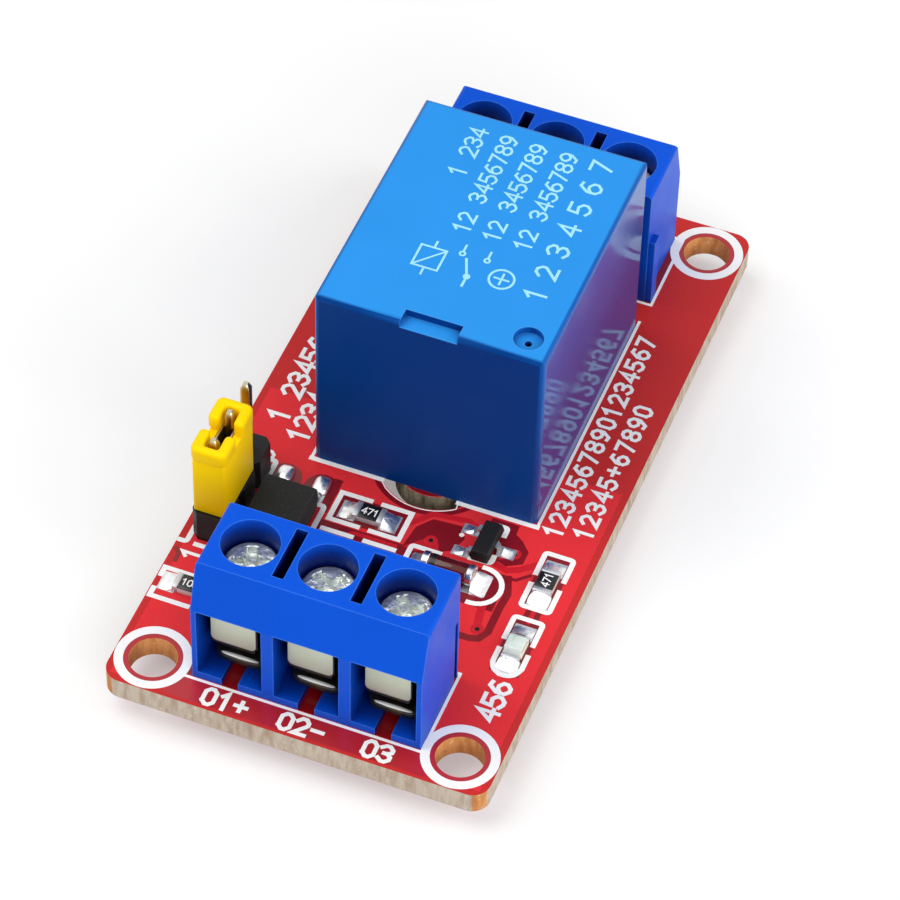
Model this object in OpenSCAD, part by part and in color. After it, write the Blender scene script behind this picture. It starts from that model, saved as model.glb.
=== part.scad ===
// Relay module board: a screw-terminal relay carried on a small drilled circuit board.
// The origin is the centre of the four mounting holes, on the board's underside.
// +Y runs along the board from the input terminals to the output terminals, +Z is up.

/* [Circuit board] */
// Thickness of the circuit board
board_t = 1.6; // [1:0.1:2.4]
// Radius of the board's corners
board_corner_r = 1.2; // [0.5:0.1:2]
// Bare strip between a terminal block and its end of the board
end_margin = 2.1; // [1.5:0.1:5]
// Length of the open board between the input block and the relay
logic_l = 13.2; // [13:0.1:18]
// Bare strip between the left edge and the pin header
left_margin = 0.74; // [0.5:0.01:2]
// Bare strip between the right edge and the power light
right_margin = 1.73; // [1.2:0.01:3]
// Diameter of the mounting holes
mount_hole_d = 3.1; // [2.5:0.1:3.2]
// Distance from the edges to the mounting hole centres
mount_inset = 2.5; // [2.2:0.1:2.8]
// Length of the solder pins below the board
pin_below = 1.6; // [1.3:0.1:3]
// Diameter of the round solder pins
pin_d = 1.0; // [0.7:0.05:1.1]
// Widening of a drilled hole over its pin, on the diameter
drill_play = 0.3; // [0.1:0.05:0.5]
// Height of the solder cones under the board
solder_h = 1.1; // [0.5:0.1:1.2]
// Radius of the solder pads under the board
solder_pad_r = 1.0; // [0.9:0.05:1.1]
// Width of the solder left round a pin at the cone's tip
solder_lip = 0.15; // [0.1:0.05:0.25]

/* [Isolation slot] */
// Radius of the board island that carries the common pin
island_r = 2.75; // [2.2:0.05:3.2]
// Width of the routed slot round the island
slot_w = 1.1; // [0.6:0.05:1.4]
// Length of the slot's straight legs behind the common pin
slot_leg = 1.3; // [0.5:0.1:2]

/* [Terminal blocks] */
// Distance between neighbouring poles
pole_pitch = 5.08; // [4.9:0.02:5.5]
// Offset of the blocks from the board's centre line
block_x = 0.2; // [-0.5:0.05:0.5]
// Depth of a block, front to back
block_d = 6.2; // [6:0.1:8]
// Height of a block above the board
block_h = 9.85; // [9.6:0.05:12]
// Height of the lower edge of the sloping brow
brow_z = 6.4; // [6.2:0.05:7]
// Distance that the brow leans back at its top
brow_lean = 1.06; // [0.4:0.02:1.3]
// Thickness of the partition between two poles
partition_t = 0.8; // [0.6:0.05:1]
// Thickness of the floor under the wire entries
floor_t = 0.6; // [0.4:0.05:0.8]
// Width of the gap in the floor at each pole
floor_gap_w = 1.1; // [1.1:0.05:1.6]
// Thickness of the block's back wall
back_wall_t = 0.7; // [0.5:0.05:0.7]
// Diameter of the screwdriver wells
well_d = 3.7; // [3.6:0.05:4.1]
// Distance from the block's front to the screw axes
screw_y = 3.65; // [3.5:0.05:3.8]
// Width of the relief slots in the block's top
top_slot_w = 0.75; // [0.4:0.05:0.9]
// Length of the relief slots in the block's top
top_slot_l = 4.0; // [3:0.1:4.2]
// Distance of the relief slots' middle behind the screws
top_slot_shift = 0.13; // [0:0.01:0.2]
// Depth of the relief slots in the block's top
top_slot_depth = 2.6; // [1:0.1:3.5]
// Width of the joining rib on one end of a block
rib_w = 0.9; // [0.6:0.05:1]
// Height of the joining rib
rib_h = 5.6; // [4:0.1:6]
// Distance that the joining rib stands out
rib_out = 0.45; // [0.3:0.05:0.6]
// Radius of the block's long edges
block_edge_r = 0.25; // [0.1:0.05:0.4]

/* [Clamps] */
// Width of a clamp body
clamp_w = 3.6; // [3.2:0.1:4]
// Thickness of the clamp's floor and back
clamp_t = 0.5; // [0.3:0.05:0.6]
// Thickness of the threaded plate
thread_plate_t = 1.1; // [0.9:0.05:1.3]
// Height of the threaded plate's top above the board
thread_plate_z = 5.4; // [5.2:0.05:5.8]
// Diameter of the threaded hole
thread_hole_d = 2.6; // [2.55:0.01:2.65]
// Diameter of the screw's thread
screw_d = 2.5; // [2.4:0.05:2.52]
// Diameter of the screw head
screw_head_d = 3.5; // [3.2:0.05:3.55]
// Height of the screw head
screw_head_h = 1.4; // [1.2:0.05:1.5]
// Depth of the screw head's top below the block's top
screw_sunk = 1.8; // [1.65:0.05:1.9]
// Length of the cross slots in the screw head
cross_l = 2.7; // [2:0.1:2.9]
// Turn of the cross slots about the screw's axis, in degrees
cross_turn = 20; // [0:5:85]
// Width of the cross slots in the screw head
cross_w = 0.55; // [0.4:0.05:0.7]
// Depth of the cross slots in the screw head
cross_depth = 0.7; // [0.4:0.05:0.9]
// Width of the wire guard's front flap
flap_w = 3.0; // [2.6:0.05:3.5]
// Thickness of the wire guard
guard_t = 0.35; // [0.25:0.05:0.4]
// Distance of the flap behind the block's front
flap_y = 0.72; // [0.65:0.01:0.8]
// Outer radius of the guard's bend
guard_bend_r = 0.9; // [0.7:0.05:1]
// Height of the guard's underside above the board
guard_z = 2.3; // [2.25:0.05:2.4]
// Height of the flap's top above the board
flap_top_z = 5.6; // [5.4:0.05:5.62]
// Width of the guard's tongue
tongue_w = 2.5; // [2:0.05:2.8]

/* [Relay] */
// Width of the relay case
relay_w = 15.3; // [15:0.05:17]
// Length of the relay case
relay_l = 19.0; // [18.8:0.05:21]
// Height of the relay case
relay_h = 15.2; // [15:0.05:17]
// Offset of the relay from the board's centre line
relay_x = 0.35; // [-0.5:0.05:0.5]
// Gap between the relay and the output terminal block
relay_gap = 2.0; // [1.5:0.1:4]
// Wall thickness of the relay case
case_wall = 0.8; // [0.6:0.05:0.9]
// Radius of the relay case's upright edges
case_edge_r = 0.4; // [0.2:0.05:0.8]
// Radius of the relay case's top edges
case_top_r = 0.4; // [0.1:0.05:0.5]
// Width of the notch in the case's top front edge
notch_w = 3.8; // [2:0.1:5]
// Length of the notch
notch_l = 1.1; // [0.5:0.05:1.2]
// Depth of the notch
notch_depth = 0.55; // [0.2:0.05:0.6]
// Diameter of the vent's round recess
vent_d = 1.9; // [1.2:0.05:2.2]
// Depth of the vent's round recess
vent_depth = 0.5; // [0.1:0.05:0.5]
// Diameter of the vent's pin hole
vent_hole_d = 0.45; // [0.3:0.05:0.6]
// Distance of the vent from the case's right and front faces
vent_inset = 1.68; // [1.4:0.02:2]
// Thickness of the relay's base plate
base_t = 1.6; // [1.2:0.05:1.8]
// Height of the base plate's underside above the board
base_lift = 0.3; // [0.1:0.05:0.5]
// From the relay's sides to its coil and switch pins
relay_pin_inset = 1.65; // [1.45:0.05:1.75]
// Distance of the common pin from the relay's front
common_pin_y = 2.4; // [2.2:0.05:2.6]
// Distance of the coil pins behind the common pin
coil_pin_dy = 2.0; // [1.8:0.05:2.2]
// Distance of the switched pins from the relay's back
switch_pin_inset = 2.4; // [2.2:0.05:2.6]

/* [Relay coil] */
// Thickness of the iron yoke
yoke_t = 1.3; // [1:0.05:1.4]
// Distance from the common pin forward to the yoke's outer face
yoke_lead = 0.9; // [0.5:0.05:1]
// Width of the iron yoke
yoke_w = 7.2; // [6:0.1:8]
// Distance from the case's top down to the yoke's top
yoke_drop = 3.6; // [3.5:0.05:3.8]
// Gap between the yoke and the bobbin
coil_play = 0.3; // [0.2:0.05:0.4]
// Diameter of the iron core
core_d = 3.0; // [2.4:0.1:3.4]
// Diameter of the core's pole face
pole_d = 5.6; // [4.5:0.1:6.4]
// Thickness of the core's pole face
pole_t = 0.8; // [0.6:0.05:1]
// Air gap between the pole face and the armature
air_gap = 0.55; // [0.5:0.01:0.7]
// Width of the bobbin's flanges
flange_w = 9.2; // [8.8:0.1:10]
// Thickness of the bobbin's flanges and tube
bobbin_t = 0.7; // [0.5:0.05:0.8]
// Thickness of the copper winding
winding_t = 1.9; // [1.2:0.05:2]
// Thickness of the armature
armature_t = 0.9; // [0.7:0.05:1]
// Width of the contact spring
leaf_w = 3.0; // [2.4:0.1:3.6]
// Thickness of the contact spring
leaf_t = 0.25; // [0.2:0.01:0.3]
// Diameter of the contact buttons
button_d = 2.1; // [1.6:0.05:2.4]
// Thickness of the contact buttons
button_t = 0.35; // [0.3:0.01:0.4]
// Distance from the switched pins forward to the buttons
button_lead = 0.7; // [0.5:0.05:0.9]
// Gap between the open contacts
contact_gap = 0.6; // [0.55:0.01:0.7]
// Thickness of the fixed contact arms
arm_t = 0.4; // [0.3:0.05:0.45]
// Width of the fixed contact posts
post_w = 0.8; // [0.7:0.05:0.9]

/* [Pin header] */
// Distance from the relay to the middle header pin
header_dy = 5.39; // [5.2:0.01:5.6]
// Distance between header pins
header_pitch = 2.54; // [2.5:0.01:2.6]
// Width and height of the header's plastic base
header_w = 2.5; // [2.3:0.05:2.6]
// Side of the square header pins
header_pin = 0.64; // [0.5:0.02:0.66]
// Height of the header pins above the board
header_pin_h = 8.6; // [8:0.1:9]
// Chamfer between the header base's segments
header_chamfer = 0.45; // [0.2:0.05:0.6]

/* [Jumper] */
// Width of the jumper's two collars
cap_w = 2.45; // [2.4:0.05:2.6]
// Length of the jumper
cap_l = 4.85; // [4.75:0.05:5]
// Height of the jumper
cap_h = 6.0; // [5.5:0.1:6]
// Height of the jumper's collars
collar_h = 1.25; // [0.8:0.05:1.6]
// Step from the collars in to the jumper's sides
collar_step = 0.12; // [0.05:0.01:0.15]
// Radius of the jumper's upright edges
cap_edge_r = 0.35; // [0.2:0.05:0.4]
// Length of each collar along the jumper
collar_l = 1.95; // [1.7:0.05:2.1]
// Width of the slot that takes the metal clip
clip_slot_w = 1.0; // [0.96:0.01:1.1]
// Length of the slot that takes the metal clip
clip_slot_l = 3.7; // [3.64:0.02:3.9]
// Wall thickness of the metal clip
clip_t = 0.11; // [0.08:0.01:0.12]
// Running gap round the header pins and the clip
clip_play = 0.03; // [0.02:0.01:0.04]

/* [Small parts] */
// Gap between the pin header and the optocoupler
opto_gap = 0.52; // [0.4:0.02:1.2]
// Width of the optocoupler's body
opto_w = 3.6; // [3.4:0.1:4.4]
// Length of the optocoupler's body
opto_l = 4.4; // [4:0.1:5]
// Height of the optocoupler's body
opto_h = 2.0; // [1.6:0.1:2.4]
// Distance from the relay to the optocoupler's centre
opto_dy = 6.2; // [6.1:0.1:7]
// Distance between the optocoupler's leads
opto_pitch = 2.54; // [2.2:0.02:2.6]
// Width of the optocoupler's leads
opto_lead_w = 0.45; // [0.3:0.05:0.6]
// Thickness of the optocoupler's leads
opto_lead_t = 0.2; // [0.15:0.01:0.25]
// Reach of the optocoupler's leads beyond its body
opto_lead_l = 1.3; // [1:0.05:1.6]
// Diameter and inset of the optocoupler's first-pin mark
opto_dot_inset = 0.7; // [0.5:0.05:0.8]
// Length of a chip resistor
chip_l = 2.0; // [1.8:0.05:2.2]
// Width of a chip resistor
chip_w = 1.25; // [1.1:0.05:1.4]
// Height of a chip resistor
chip_h = 0.55; // [0.45:0.05:0.7]
// Length of a chip resistor's metal end caps
chip_cap_l = 0.4; // [0.25:0.05:0.5]
// Thickness of the metal end caps
chip_skin = 0.03; // [0.02:0.01:0.05]
// Gap between the optocoupler and the base resistor
base_resistor_gap = 2.27; // [2:0.01:3]
// Distance from the relay to the base resistor's centre
base_resistor_dy = 3.38; // [3:0.02:4]
// Gap between the base resistor and the transistor
transistor_gap = 6.13; // [5:0.01:7]
// Length of the transistor's body
transistor_l = 2.9; // [2.8:0.05:3.1]
// Width of the transistor's body
transistor_w = 1.3; // [1.2:0.05:1.5]
// Height of the transistor's body
transistor_h = 0.95; // [0.85:0.05:1.2]
// Distance between the transistor's paired leads
transistor_pitch = 1.9; // [1.8:0.05:2]
// Width of the transistor's leads
transistor_lead_w = 0.42; // [0.3:0.02:0.5]
// Thickness of the transistor's leads
transistor_lead_t = 0.12; // [0.1:0.01:0.16]
// Reach of the transistor's leads beyond its body
transistor_lead_l = 0.55; // [0.4:0.05:0.7]
// Distance from the relay to the transistor's centre
transistor_dy = 2.88; // [2.6:0.02:3.1]
// Gap between the transistor and the right-hand parts
right_part_gap = 3.36; // [3:0.01:4]
// Distance from the relay to the light's resistor
light_resistor_dy = 4.4; // [4:0.1:5]
// Distance from the relay to the power light
light_dy = 9.94; // [9.6:0.02:10.2]
// Thickness of the power light's base
light_base_h = 0.35; // [0.25:0.05:0.45]
// Bare length at each end of the power light's base
light_foot_l = 0.35; // [0.25:0.05:0.45]
// Height of the power light's lens
light_lens_h = 0.45; // [0.3:0.05:0.6]
// Distance from the relay to the diode
diode_dy = 5.95; // [5.8:0.05:6.2]
// Offset of the diode from the transistor, to the left
diode_dx = 1.4; // [1:0.05:2]
// Length of the diode
diode_l = 3.5; // [3.3:0.05:3.7]
// Diameter of the diode's end caps
diode_d = 1.4; // [1.3:0.05:1.6]
// Diameter of the diode's glass
diode_glass_d = 1.32; // [1.2:0.02:1.34]
// Length of each end cap of the diode
diode_cap_l = 0.45; // [0.3:0.05:0.6]
// Distance from the left edge to the input resistor's centre
input_resistor_inset = 2.4; // [2.3:0.01:3]
// Distance of the input resistor's centre behind the input block
input_resistor_dy = 0.1; // [0:0.05:0.6]
// Length of a solder fillet on a surface pad
fillet_l = 0.8; // [0.5:0.05:0.9]

/* [Hidden] */
$fn = 48;
eps = 0.01;
poles = 3;
header_pins = 3;
coil_pins = 2;
sides = ["input", "output"];
lead_gap = 0.1;          // gap between a flat part's body and the board
fit = 0.05;              // gap round a piece that is pressed or slid into place

// Layout along the board, from the input end
board_l = 2 * end_margin + 2 * block_d + logic_l + relay_l + relay_gap;
// Layout across the board, from the left edge
board_w = left_margin + header_w + opto_gap + opto_w + base_resistor_gap + chip_l
        + transistor_gap + transistor_w + right_part_gap + chip_w + right_margin;

relay_front_y = board_l / 2 - end_margin - block_d - relay_gap - relay_l;
header_x = -board_w / 2 + left_margin + header_w / 2;
header_y = relay_front_y - header_dy;
opto_x = header_x + header_w / 2 + opto_gap + opto_w / 2;
opto_y = relay_front_y - opto_dy;
base_resistor_x = opto_x + opto_w / 2 + base_resistor_gap + chip_l / 2;
transistor_x = base_resistor_x + chip_l / 2 + transistor_gap + transistor_w / 2;
right_part_x = transistor_x + transistor_w / 2 + right_part_gap + chip_w / 2;
block_back_y = -board_l / 2 + end_margin + block_d;

// Terminal block and clamp
block_w = poles * pole_pitch - 0.1;
cavity_w = pole_pitch - partition_t;
cavity_y = block_d - back_wall_t;
cavity_z = thread_plate_z + fit;
guard_play = 0.2;        // gap round the wire guard
brow_t = flap_y - guard_play / 2;
guard_rise = 1.5;        // room over the flap for its way up
clamp_setback = 0.4;     // gap between the flap and the clamp
head_chamfer = 0.25;     // chamfer on the screw head's rim
pocket_z = flap_top_z + guard_rise + fit;
tongue_z = guard_z + guard_t;
screw_top_z = block_h - screw_sunk;
clamp_back_y = cavity_y - fit;

// Relay
cavity_half_w = relay_w / 2 - case_wall;
relay_pin_span = relay_w - 2 * relay_pin_inset;
yoke_top_z = relay_h - yoke_drop;
base_top_z = base_lift + base_t;
yoke_front_y = common_pin_y - yoke_lead;
yoke_back_y = yoke_front_y + yoke_t;
pole_top_z = yoke_top_z + fit - air_gap;
flange_front_y = yoke_back_y + coil_play;
core_y = flange_front_y + flange_w / 2;
coil_foot_z = base_top_z + yoke_t;
coil_top_z = pole_top_z - pole_t;
armature_z = yoke_top_z + fit;
leaf_z = armature_z + armature_t;
switch_pin_y = relay_l - switch_pin_inset;
button_y = switch_pin_y - button_lead;
closed_z = leaf_z + leaf_t + button_t + fit;
open_z = leaf_z - button_t - contact_gap;

// Everything that passes through the board: [x, y, drilled diameter, pin half width]
pole_xs = [for (i = [1:poles]) (i - (poles + 1) / 2) * pole_pitch];
screw_line_y = board_l / 2 - end_margin - screw_y;
pin_hole_d = pin_d + drill_play;
relay_pins = [[0, common_pin_y],
              [-relay_pin_span / 2, common_pin_y + coil_pin_dy],
              [relay_pin_span / 2, common_pin_y + coil_pin_dy],
              [-relay_pin_span / 2, switch_pin_y],
              [relay_pin_span / 2, switch_pin_y]];
round_pins = concat([for (x = pole_xs) [block_x + x, -screw_line_y]],
                    [for (x = pole_xs) [block_x - x, screw_line_y]],
                    [for (p = relay_pins) [relay_x + p[0], relay_front_y + p[1]]]);
header_ys = [for (i = [1:header_pins]) header_y + ((header_pins + 1) / 2 - i) * header_pitch];

// ---------- shared shapes ----------

// Rectangle with round corners, centred on the origin
module rounded_rect(w, l, r) {
    square([w - 2 * r, l], center = true);
    square([w, l - 2 * r], center = true);
    for (x = [-1, 1], y = [-1, 1]) translate([x * (w / 2 - r), y * (l / 2 - r)]) circle(r);
}

// Upright face of width w and height h whose two top corners are round
module round_top_face(w, h, r) {
    translate([-w / 2, -1]) square([w, h - r + 1]);
    translate([-w / 2 + r, -1]) square([w - 2 * r, h + 1]);
    for (x = [-1, 1]) translate([x * (w / 2 - r), h - r]) circle(r);
}

// Box from z = 0 with round upright edges and round top edges, centred in x and y
module soft_box(w, l, h, side_r, top_r) {
    intersection() {
        linear_extrude(h) rounded_rect(w, l, side_r);
        rotate([90, 0, 90]) linear_extrude(w, center = true) round_top_face(l, h, top_r);
        rotate([90, 0, 0]) linear_extrude(l, center = true) round_top_face(w, h, top_r);
    }
}

// Moulded body whose four sides taper up and down from its parting line
module tapered_body(w, l, h, taper) {
    intersection() {
        rotate([90, 0, 90]) linear_extrude(w, center = true) taper_face(l, h, taper);
        rotate([90, 0, 0]) linear_extrude(l, center = true) taper_face(w, h, taper);
    }
}

module taper_face(w, h, taper) {
    polygon([[-w / 2 + taper, 0], [w / 2 - taper, 0], [w / 2, h / 2],
             [w / 2 - taper, h], [-w / 2 + taper, h], [-w / 2, h / 2]]);
}

// Bent lead in the y-z plane that leaves a body at y = 0, drops and ends in a flat foot
module gull_lead(w, t, exit_z, shoulder, reach) {
    rotate([90, 0, 90]) linear_extrude(w, center = true)
        polygon([[0, exit_z], [0, exit_z + t], [shoulder + t, exit_z + t], [shoulder + t, t],
                 [reach, t], [reach, 0], [shoulder, 0], [shoulder, exit_z]]);
}

// Solder wedge that leans against a flat end at x = 0 and runs out along +x
module solder_wedge(len, w, h) {
    rotate([90, 0, 0]) linear_extrude(w, center = true) polygon([[0, 0], [len, 0], [0, h]]);
}

// Square bar from z0 to z1 whose two ends are tapered by half its side
module tapered_pin(side, z0, z1) {
    tip = side / 2;
    intersection() {
        for (a = [0, 90]) rotate([90, 0, a]) linear_extrude(side, center = true)
            polygon([[-side / 4, z0], [side / 4, z0], [side / 2, z0 + tip], [side / 2, z1 - tip],
                     [side / 4, z1], [-side / 4, z1], [-side / 2, z1 - tip], [-side / 2, z0 + tip]]);
    }
}

// ---------- places ----------

module on_board() translate([0, 0, board_t]) children();

// Frame of a terminal block: y = 0 is its front, z = 0 the board's top
module at_block(side) {
    turn = side == "input" ? 0 : 180;
    on_board() translate([block_x, 0, 0]) rotate([0, 0, turn])
        translate([0, -board_l / 2 + end_margin, 0]) children();
}

module at_pole(i) translate([pole_xs[i - 1], 0, 0]) children();

// Frame of the relay: y = 0 is its front face, z = 0 the board's top
module at_relay() on_board() translate([relay_x, relay_front_y, 0]) children();

module at_jumper() on_board()
    translate([header_x, (header_ys[1] + header_ys[2]) / 2, header_w]) children();

module at_base_resistor() on_board()
    translate([base_resistor_x, relay_front_y - base_resistor_dy, 0]) children();

module at_light_resistor() on_board()
    translate([right_part_x, relay_front_y - light_resistor_dy, 0]) rotate(90) children();

module at_input_resistor() on_board()
    translate([-board_w / 2 + input_resistor_inset, block_back_y + input_resistor_dy, 0]) children();

module at_light() on_board()
    translate([right_part_x, relay_front_y - light_dy, 0]) rotate(-90) children();

module at_opto() on_board() translate([opto_x, opto_y, 0]) children();

module at_transistor() on_board()
    translate([transistor_x, relay_front_y - transistor_dy, 0]) children();

module at_diode() on_board()
    translate([transistor_x - diode_dx, relay_front_y - diode_dy, diode_d / 2]) children();

// ---------- circuit board ----------

module isolation_slot() {
    mid_r = island_r + slot_w / 2;
    outer_r = island_r + slot_w;
    translate([relay_x, relay_front_y + common_pin_y]) {
        difference() {
            circle(outer_r);
            circle(island_r);
            translate([-outer_r - 1, 0]) square([2 * outer_r + 2, outer_r + 1]);
        }
        for (x = [-1, 1]) {
            translate([x * mid_r - slot_w / 2, -eps]) square([slot_w, slot_leg + eps]);
            translate([x * mid_r, slot_leg]) circle(slot_w / 2);
        }
    }
}

module circuit_board() {
    color("crimson") difference() {
        linear_extrude(board_t) difference() {
            rounded_rect(board_w, board_l, board_corner_r);
            for (x = [-1, 1], y = [-1, 1])
                translate([x * (board_w / 2 - mount_inset), y * (board_l / 2 - mount_inset)])
                    circle(d = mount_hole_d);
            for (p = round_pins) translate(p) circle(d = pin_hole_d);
            for (y = header_ys) translate([header_x, y])
                circle(d = header_pin * sqrt(2) + drill_play / 2);
            isolation_slot();
        }
    }
}

// Solder cones round the pins on the underside
module pin_solder() {
    color("silver") {
        for (p = round_pins) translate([p[0], p[1], -solder_h]) difference() {
            cylinder(h = solder_h, r1 = pin_d / 2 + solder_lip, r2 = solder_pad_r);
            translate([0, 0, -1]) cylinder(h = solder_h + 2, d = pin_d + fit);
        }
        for (y = header_ys) translate([header_x, y, -solder_h]) difference() {
            cylinder(h = solder_h, r1 = header_pin * sqrt(2) / 2 + solder_lip, r2 = solder_pad_r);
            translate([0, 0, solder_h / 2]) cube([header_pin + eps, header_pin + eps, solder_h + 2],
                                                 center = true);
        }
    }
}

// ---------- terminal blocks ----------

module terminal_housing() {
    color("royalblue") difference() {
        union() {
            intersection() {
                rotate([90, 0, 90]) linear_extrude(block_w, center = true)
                    polygon([[0, 0], [block_d, 0], [block_d, block_h], [brow_lean, block_h],
                             [0, brow_z]]);
                rotate([90, 0, 0]) linear_extrude(3 * block_d, center = true)
                    round_top_face(block_w, block_h, block_edge_r);
            }
            translate([-block_w / 2 - rib_out, block_d - 1.1 * rib_w, 0])
                cube([rib_out + eps, rib_w, rib_h]);
        }
        for (i = [1:poles]) at_pole(i) pole_cavity();
        for (x = [for (i = [1:poles - 1]) (pole_xs[i - 1] + pole_xs[i]) / 2])
            translate([x - top_slot_w / 2, screw_y - top_slot_l / 2 + top_slot_shift,
                       block_h - top_slot_depth])
                cube([top_slot_w, top_slot_l, top_slot_depth + 1]);
        translate([block_w / 2 - rib_out, cavity_y + fit, -eps])
            cube([rib_out + eps, rib_w / 2, rib_h]);
    }
}

// Wire entry, clamp pocket and screwdriver well of one pole
module pole_cavity() {
    translate([-cavity_w / 2, -1, floor_t]) cube([cavity_w, cavity_y + 1, cavity_z - floor_t]);
    translate([-cavity_w / 2, -1, floor_t]) cube([cavity_w, brow_t + 1, brow_z - floor_t]);
    translate([-cavity_w / 2, brow_t - eps, floor_t])
        cube([cavity_w, flap_y - brow_t + guard_t + guard_play, pocket_z - floor_t]);
    translate([0, screw_y, cavity_z - eps]) cylinder(h = block_h, d = well_d);
    translate([-floor_gap_w / 2, -1, -1])
        cube([floor_gap_w, screw_y + pin_d / 2 + fit + 1, floor_t + 2]);
}

// Plated clamp body: floor, back, threaded plate and solder pin in one piece
module terminal_clamp() {
    front_y = flap_y + guard_t + clamp_setback;
    color("goldenrod") {
        difference() {
            union() {
                translate([-clamp_w / 2, front_y, floor_t])
                    cube([clamp_w, clamp_back_y - front_y, clamp_t]);
                translate([-clamp_w / 2, clamp_back_y - clamp_t, floor_t])
                    cube([clamp_w, clamp_t, thread_plate_z - floor_t]);
                translate([-clamp_w / 2, front_y, thread_plate_z - thread_plate_t])
                    cube([clamp_w, clamp_back_y - front_y, thread_plate_t]);
                translate([0, screw_y, -board_t - pin_below])
                    cylinder(h = board_t + pin_below + floor_t + clamp_t / 2, d = pin_d);
            }
            translate([0, screw_y, floor_t + clamp_t + 1]) cylinder(h = block_h, d = thread_hole_d);
        }
    }
}

// Sheet guard: a front flap that hides the thread and a tongue that the screw presses
module wire_guard() {
    flap_z = guard_z + guard_bend_r;
    inner_r = guard_bend_r - guard_t;
    tongue_end_y = clamp_back_y - clamp_t - guard_play;
    corner_r = guard_t;
    color("gainsboro") {
        translate([0, flap_y, 0]) rotate([90, 0, 0]) translate([0, 0, -guard_t])
            linear_extrude(guard_t) {
                translate([-flap_w / 2, flap_z + corner_r])
                    square([flap_w, flap_top_z - flap_z - corner_r]);
                translate([-flap_w / 2 + corner_r, flap_z]) square([flap_w - 2 * corner_r, 2 * corner_r]);
                for (x = [-1, 1]) translate([x * (flap_w / 2 - corner_r), flap_z + corner_r])
                    circle(corner_r);
            }
        rotate([90, 0, 90]) linear_extrude(tongue_w, center = true) {
            translate([flap_y, flap_z]) square([guard_t, 2 * corner_r]);
            translate([flap_y + guard_bend_r, guard_z])
                square([tongue_end_y - flap_y - guard_bend_r, guard_t]);
            translate([flap_y + guard_bend_r, flap_z]) intersection() {
                difference() {
                    circle(guard_bend_r);
                    circle(inner_r);
                }
                translate([-guard_bend_r, -guard_bend_r]) square(guard_bend_r + eps);
            }
        }
    }
}

module terminal_screw() {
    head_z = screw_top_z - screw_head_h;
    shank_r = screw_d / 2;
    head_r = screw_head_d / 2;
    color("lightgray") translate([0, screw_y, 0]) difference() {
        rotate_extrude() polygon([[0, tongue_z], [shank_r, tongue_z], [shank_r, head_z],
                                  [head_r, head_z], [head_r, screw_top_z - head_chamfer],
                                  [head_r - head_chamfer, screw_top_z], [0, screw_top_z]]);
        for (a = [0, 90]) rotate(a + cross_turn) translate([0, 0, screw_top_z])
            cube([cross_l, cross_w, 2 * cross_depth], center = true);
    }
}

// ---------- relay ----------

module relay_case() {
    color("dodgerblue") difference() {
        translate([0, relay_l / 2, 0]) soft_box(relay_w, relay_l, relay_h, case_edge_r, case_top_r);
        translate([-cavity_half_w, case_wall, -1])
            cube([2 * cavity_half_w, relay_l - 2 * case_wall, relay_h - case_wall + 1]);
        translate([-notch_w / 2, -1, relay_h - notch_depth]) cube([notch_w, notch_l + 1, 1]);
        translate([relay_w / 2 - vent_inset, vent_inset, relay_h - vent_depth])
            cylinder(h = 1, d = vent_d);
        translate([relay_w / 2 - vent_inset, vent_inset, relay_h - case_wall - 1])
            cylinder(h = 3, d = vent_hole_d);
    }
}

module relay_base() {
    color("midnightblue") difference() {
        translate([-cavity_half_w + fit, case_wall + fit, base_lift])
            cube([2 * (cavity_half_w - fit), relay_l - 2 * (case_wall + fit), base_t]);
        for (p = relay_pins) translate([p[0], p[1], -1]) cylinder(h = base_top_z + 2, d = pin_d + fit);
    }
}

module relay_yoke() {
    color("slategray") {
        translate([-yoke_w / 2, yoke_front_y, base_top_z])
            cube([yoke_w, yoke_t, yoke_top_z - base_top_z]);
        translate([-yoke_w / 2, yoke_front_y, base_top_z])
            cube([yoke_w, core_y + core_d - yoke_front_y, yoke_t]);
    }
}

module relay_core() {
    color("gray") translate([0, core_y, 0]) {
        translate([0, 0, coil_foot_z]) cylinder(h = coil_top_z - coil_foot_z + eps, d = core_d);
        translate([0, 0, coil_top_z]) cylinder(h = pole_t, d = pole_d);
    }
}

module relay_bobbin() {
    tube_d = core_d + 2 * fit + 2 * bobbin_t;
    color("ivory") translate([0, core_y, coil_foot_z]) difference() {
        union() {
            for (z = [0, coil_top_z - coil_foot_z - bobbin_t]) translate([0, 0, z])
                linear_extrude(bobbin_t) rounded_rect(flange_w, flange_w, bobbin_t);
            cylinder(h = coil_top_z - coil_foot_z, d = tube_d);
        }
        translate([0, 0, -1]) cylinder(h = coil_top_z, d = core_d + 2 * fit);
    }
}

module relay_winding() {
    inner_r = core_d / 2 + fit + bobbin_t + fit;
    color("chocolate") translate([0, core_y, coil_foot_z + bobbin_t]) difference() {
        cylinder(h = coil_top_z - coil_foot_z - 2 * bobbin_t, r = inner_r + winding_t);
        translate([0, 0, -1]) cylinder(h = coil_top_z, r = inner_r);
    }
}

module relay_armature() {
    w = yoke_w - armature_t / 2;
    color("slategray") translate([-w / 2, yoke_front_y + fit, armature_z])
        cube([w, core_y + pole_d / 2 + armature_t / 2 - yoke_front_y, armature_t]);
}

module relay_contact_spring() {
    color("peru") translate([-leaf_w / 2, yoke_front_y + fit, leaf_z])
        cube([leaf_w, button_y + button_d / 2 - yoke_front_y, leaf_t]);
}

// Silver button on each face of the spring's free end
module relay_moving_contact() {
    color("silver") {
        translate([0, button_y, leaf_z + leaf_t]) cylinder(h = button_t, d = button_d);
        translate([0, button_y, leaf_z - button_t]) cylinder(h = button_t, d = button_d);
    }
}

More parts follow.
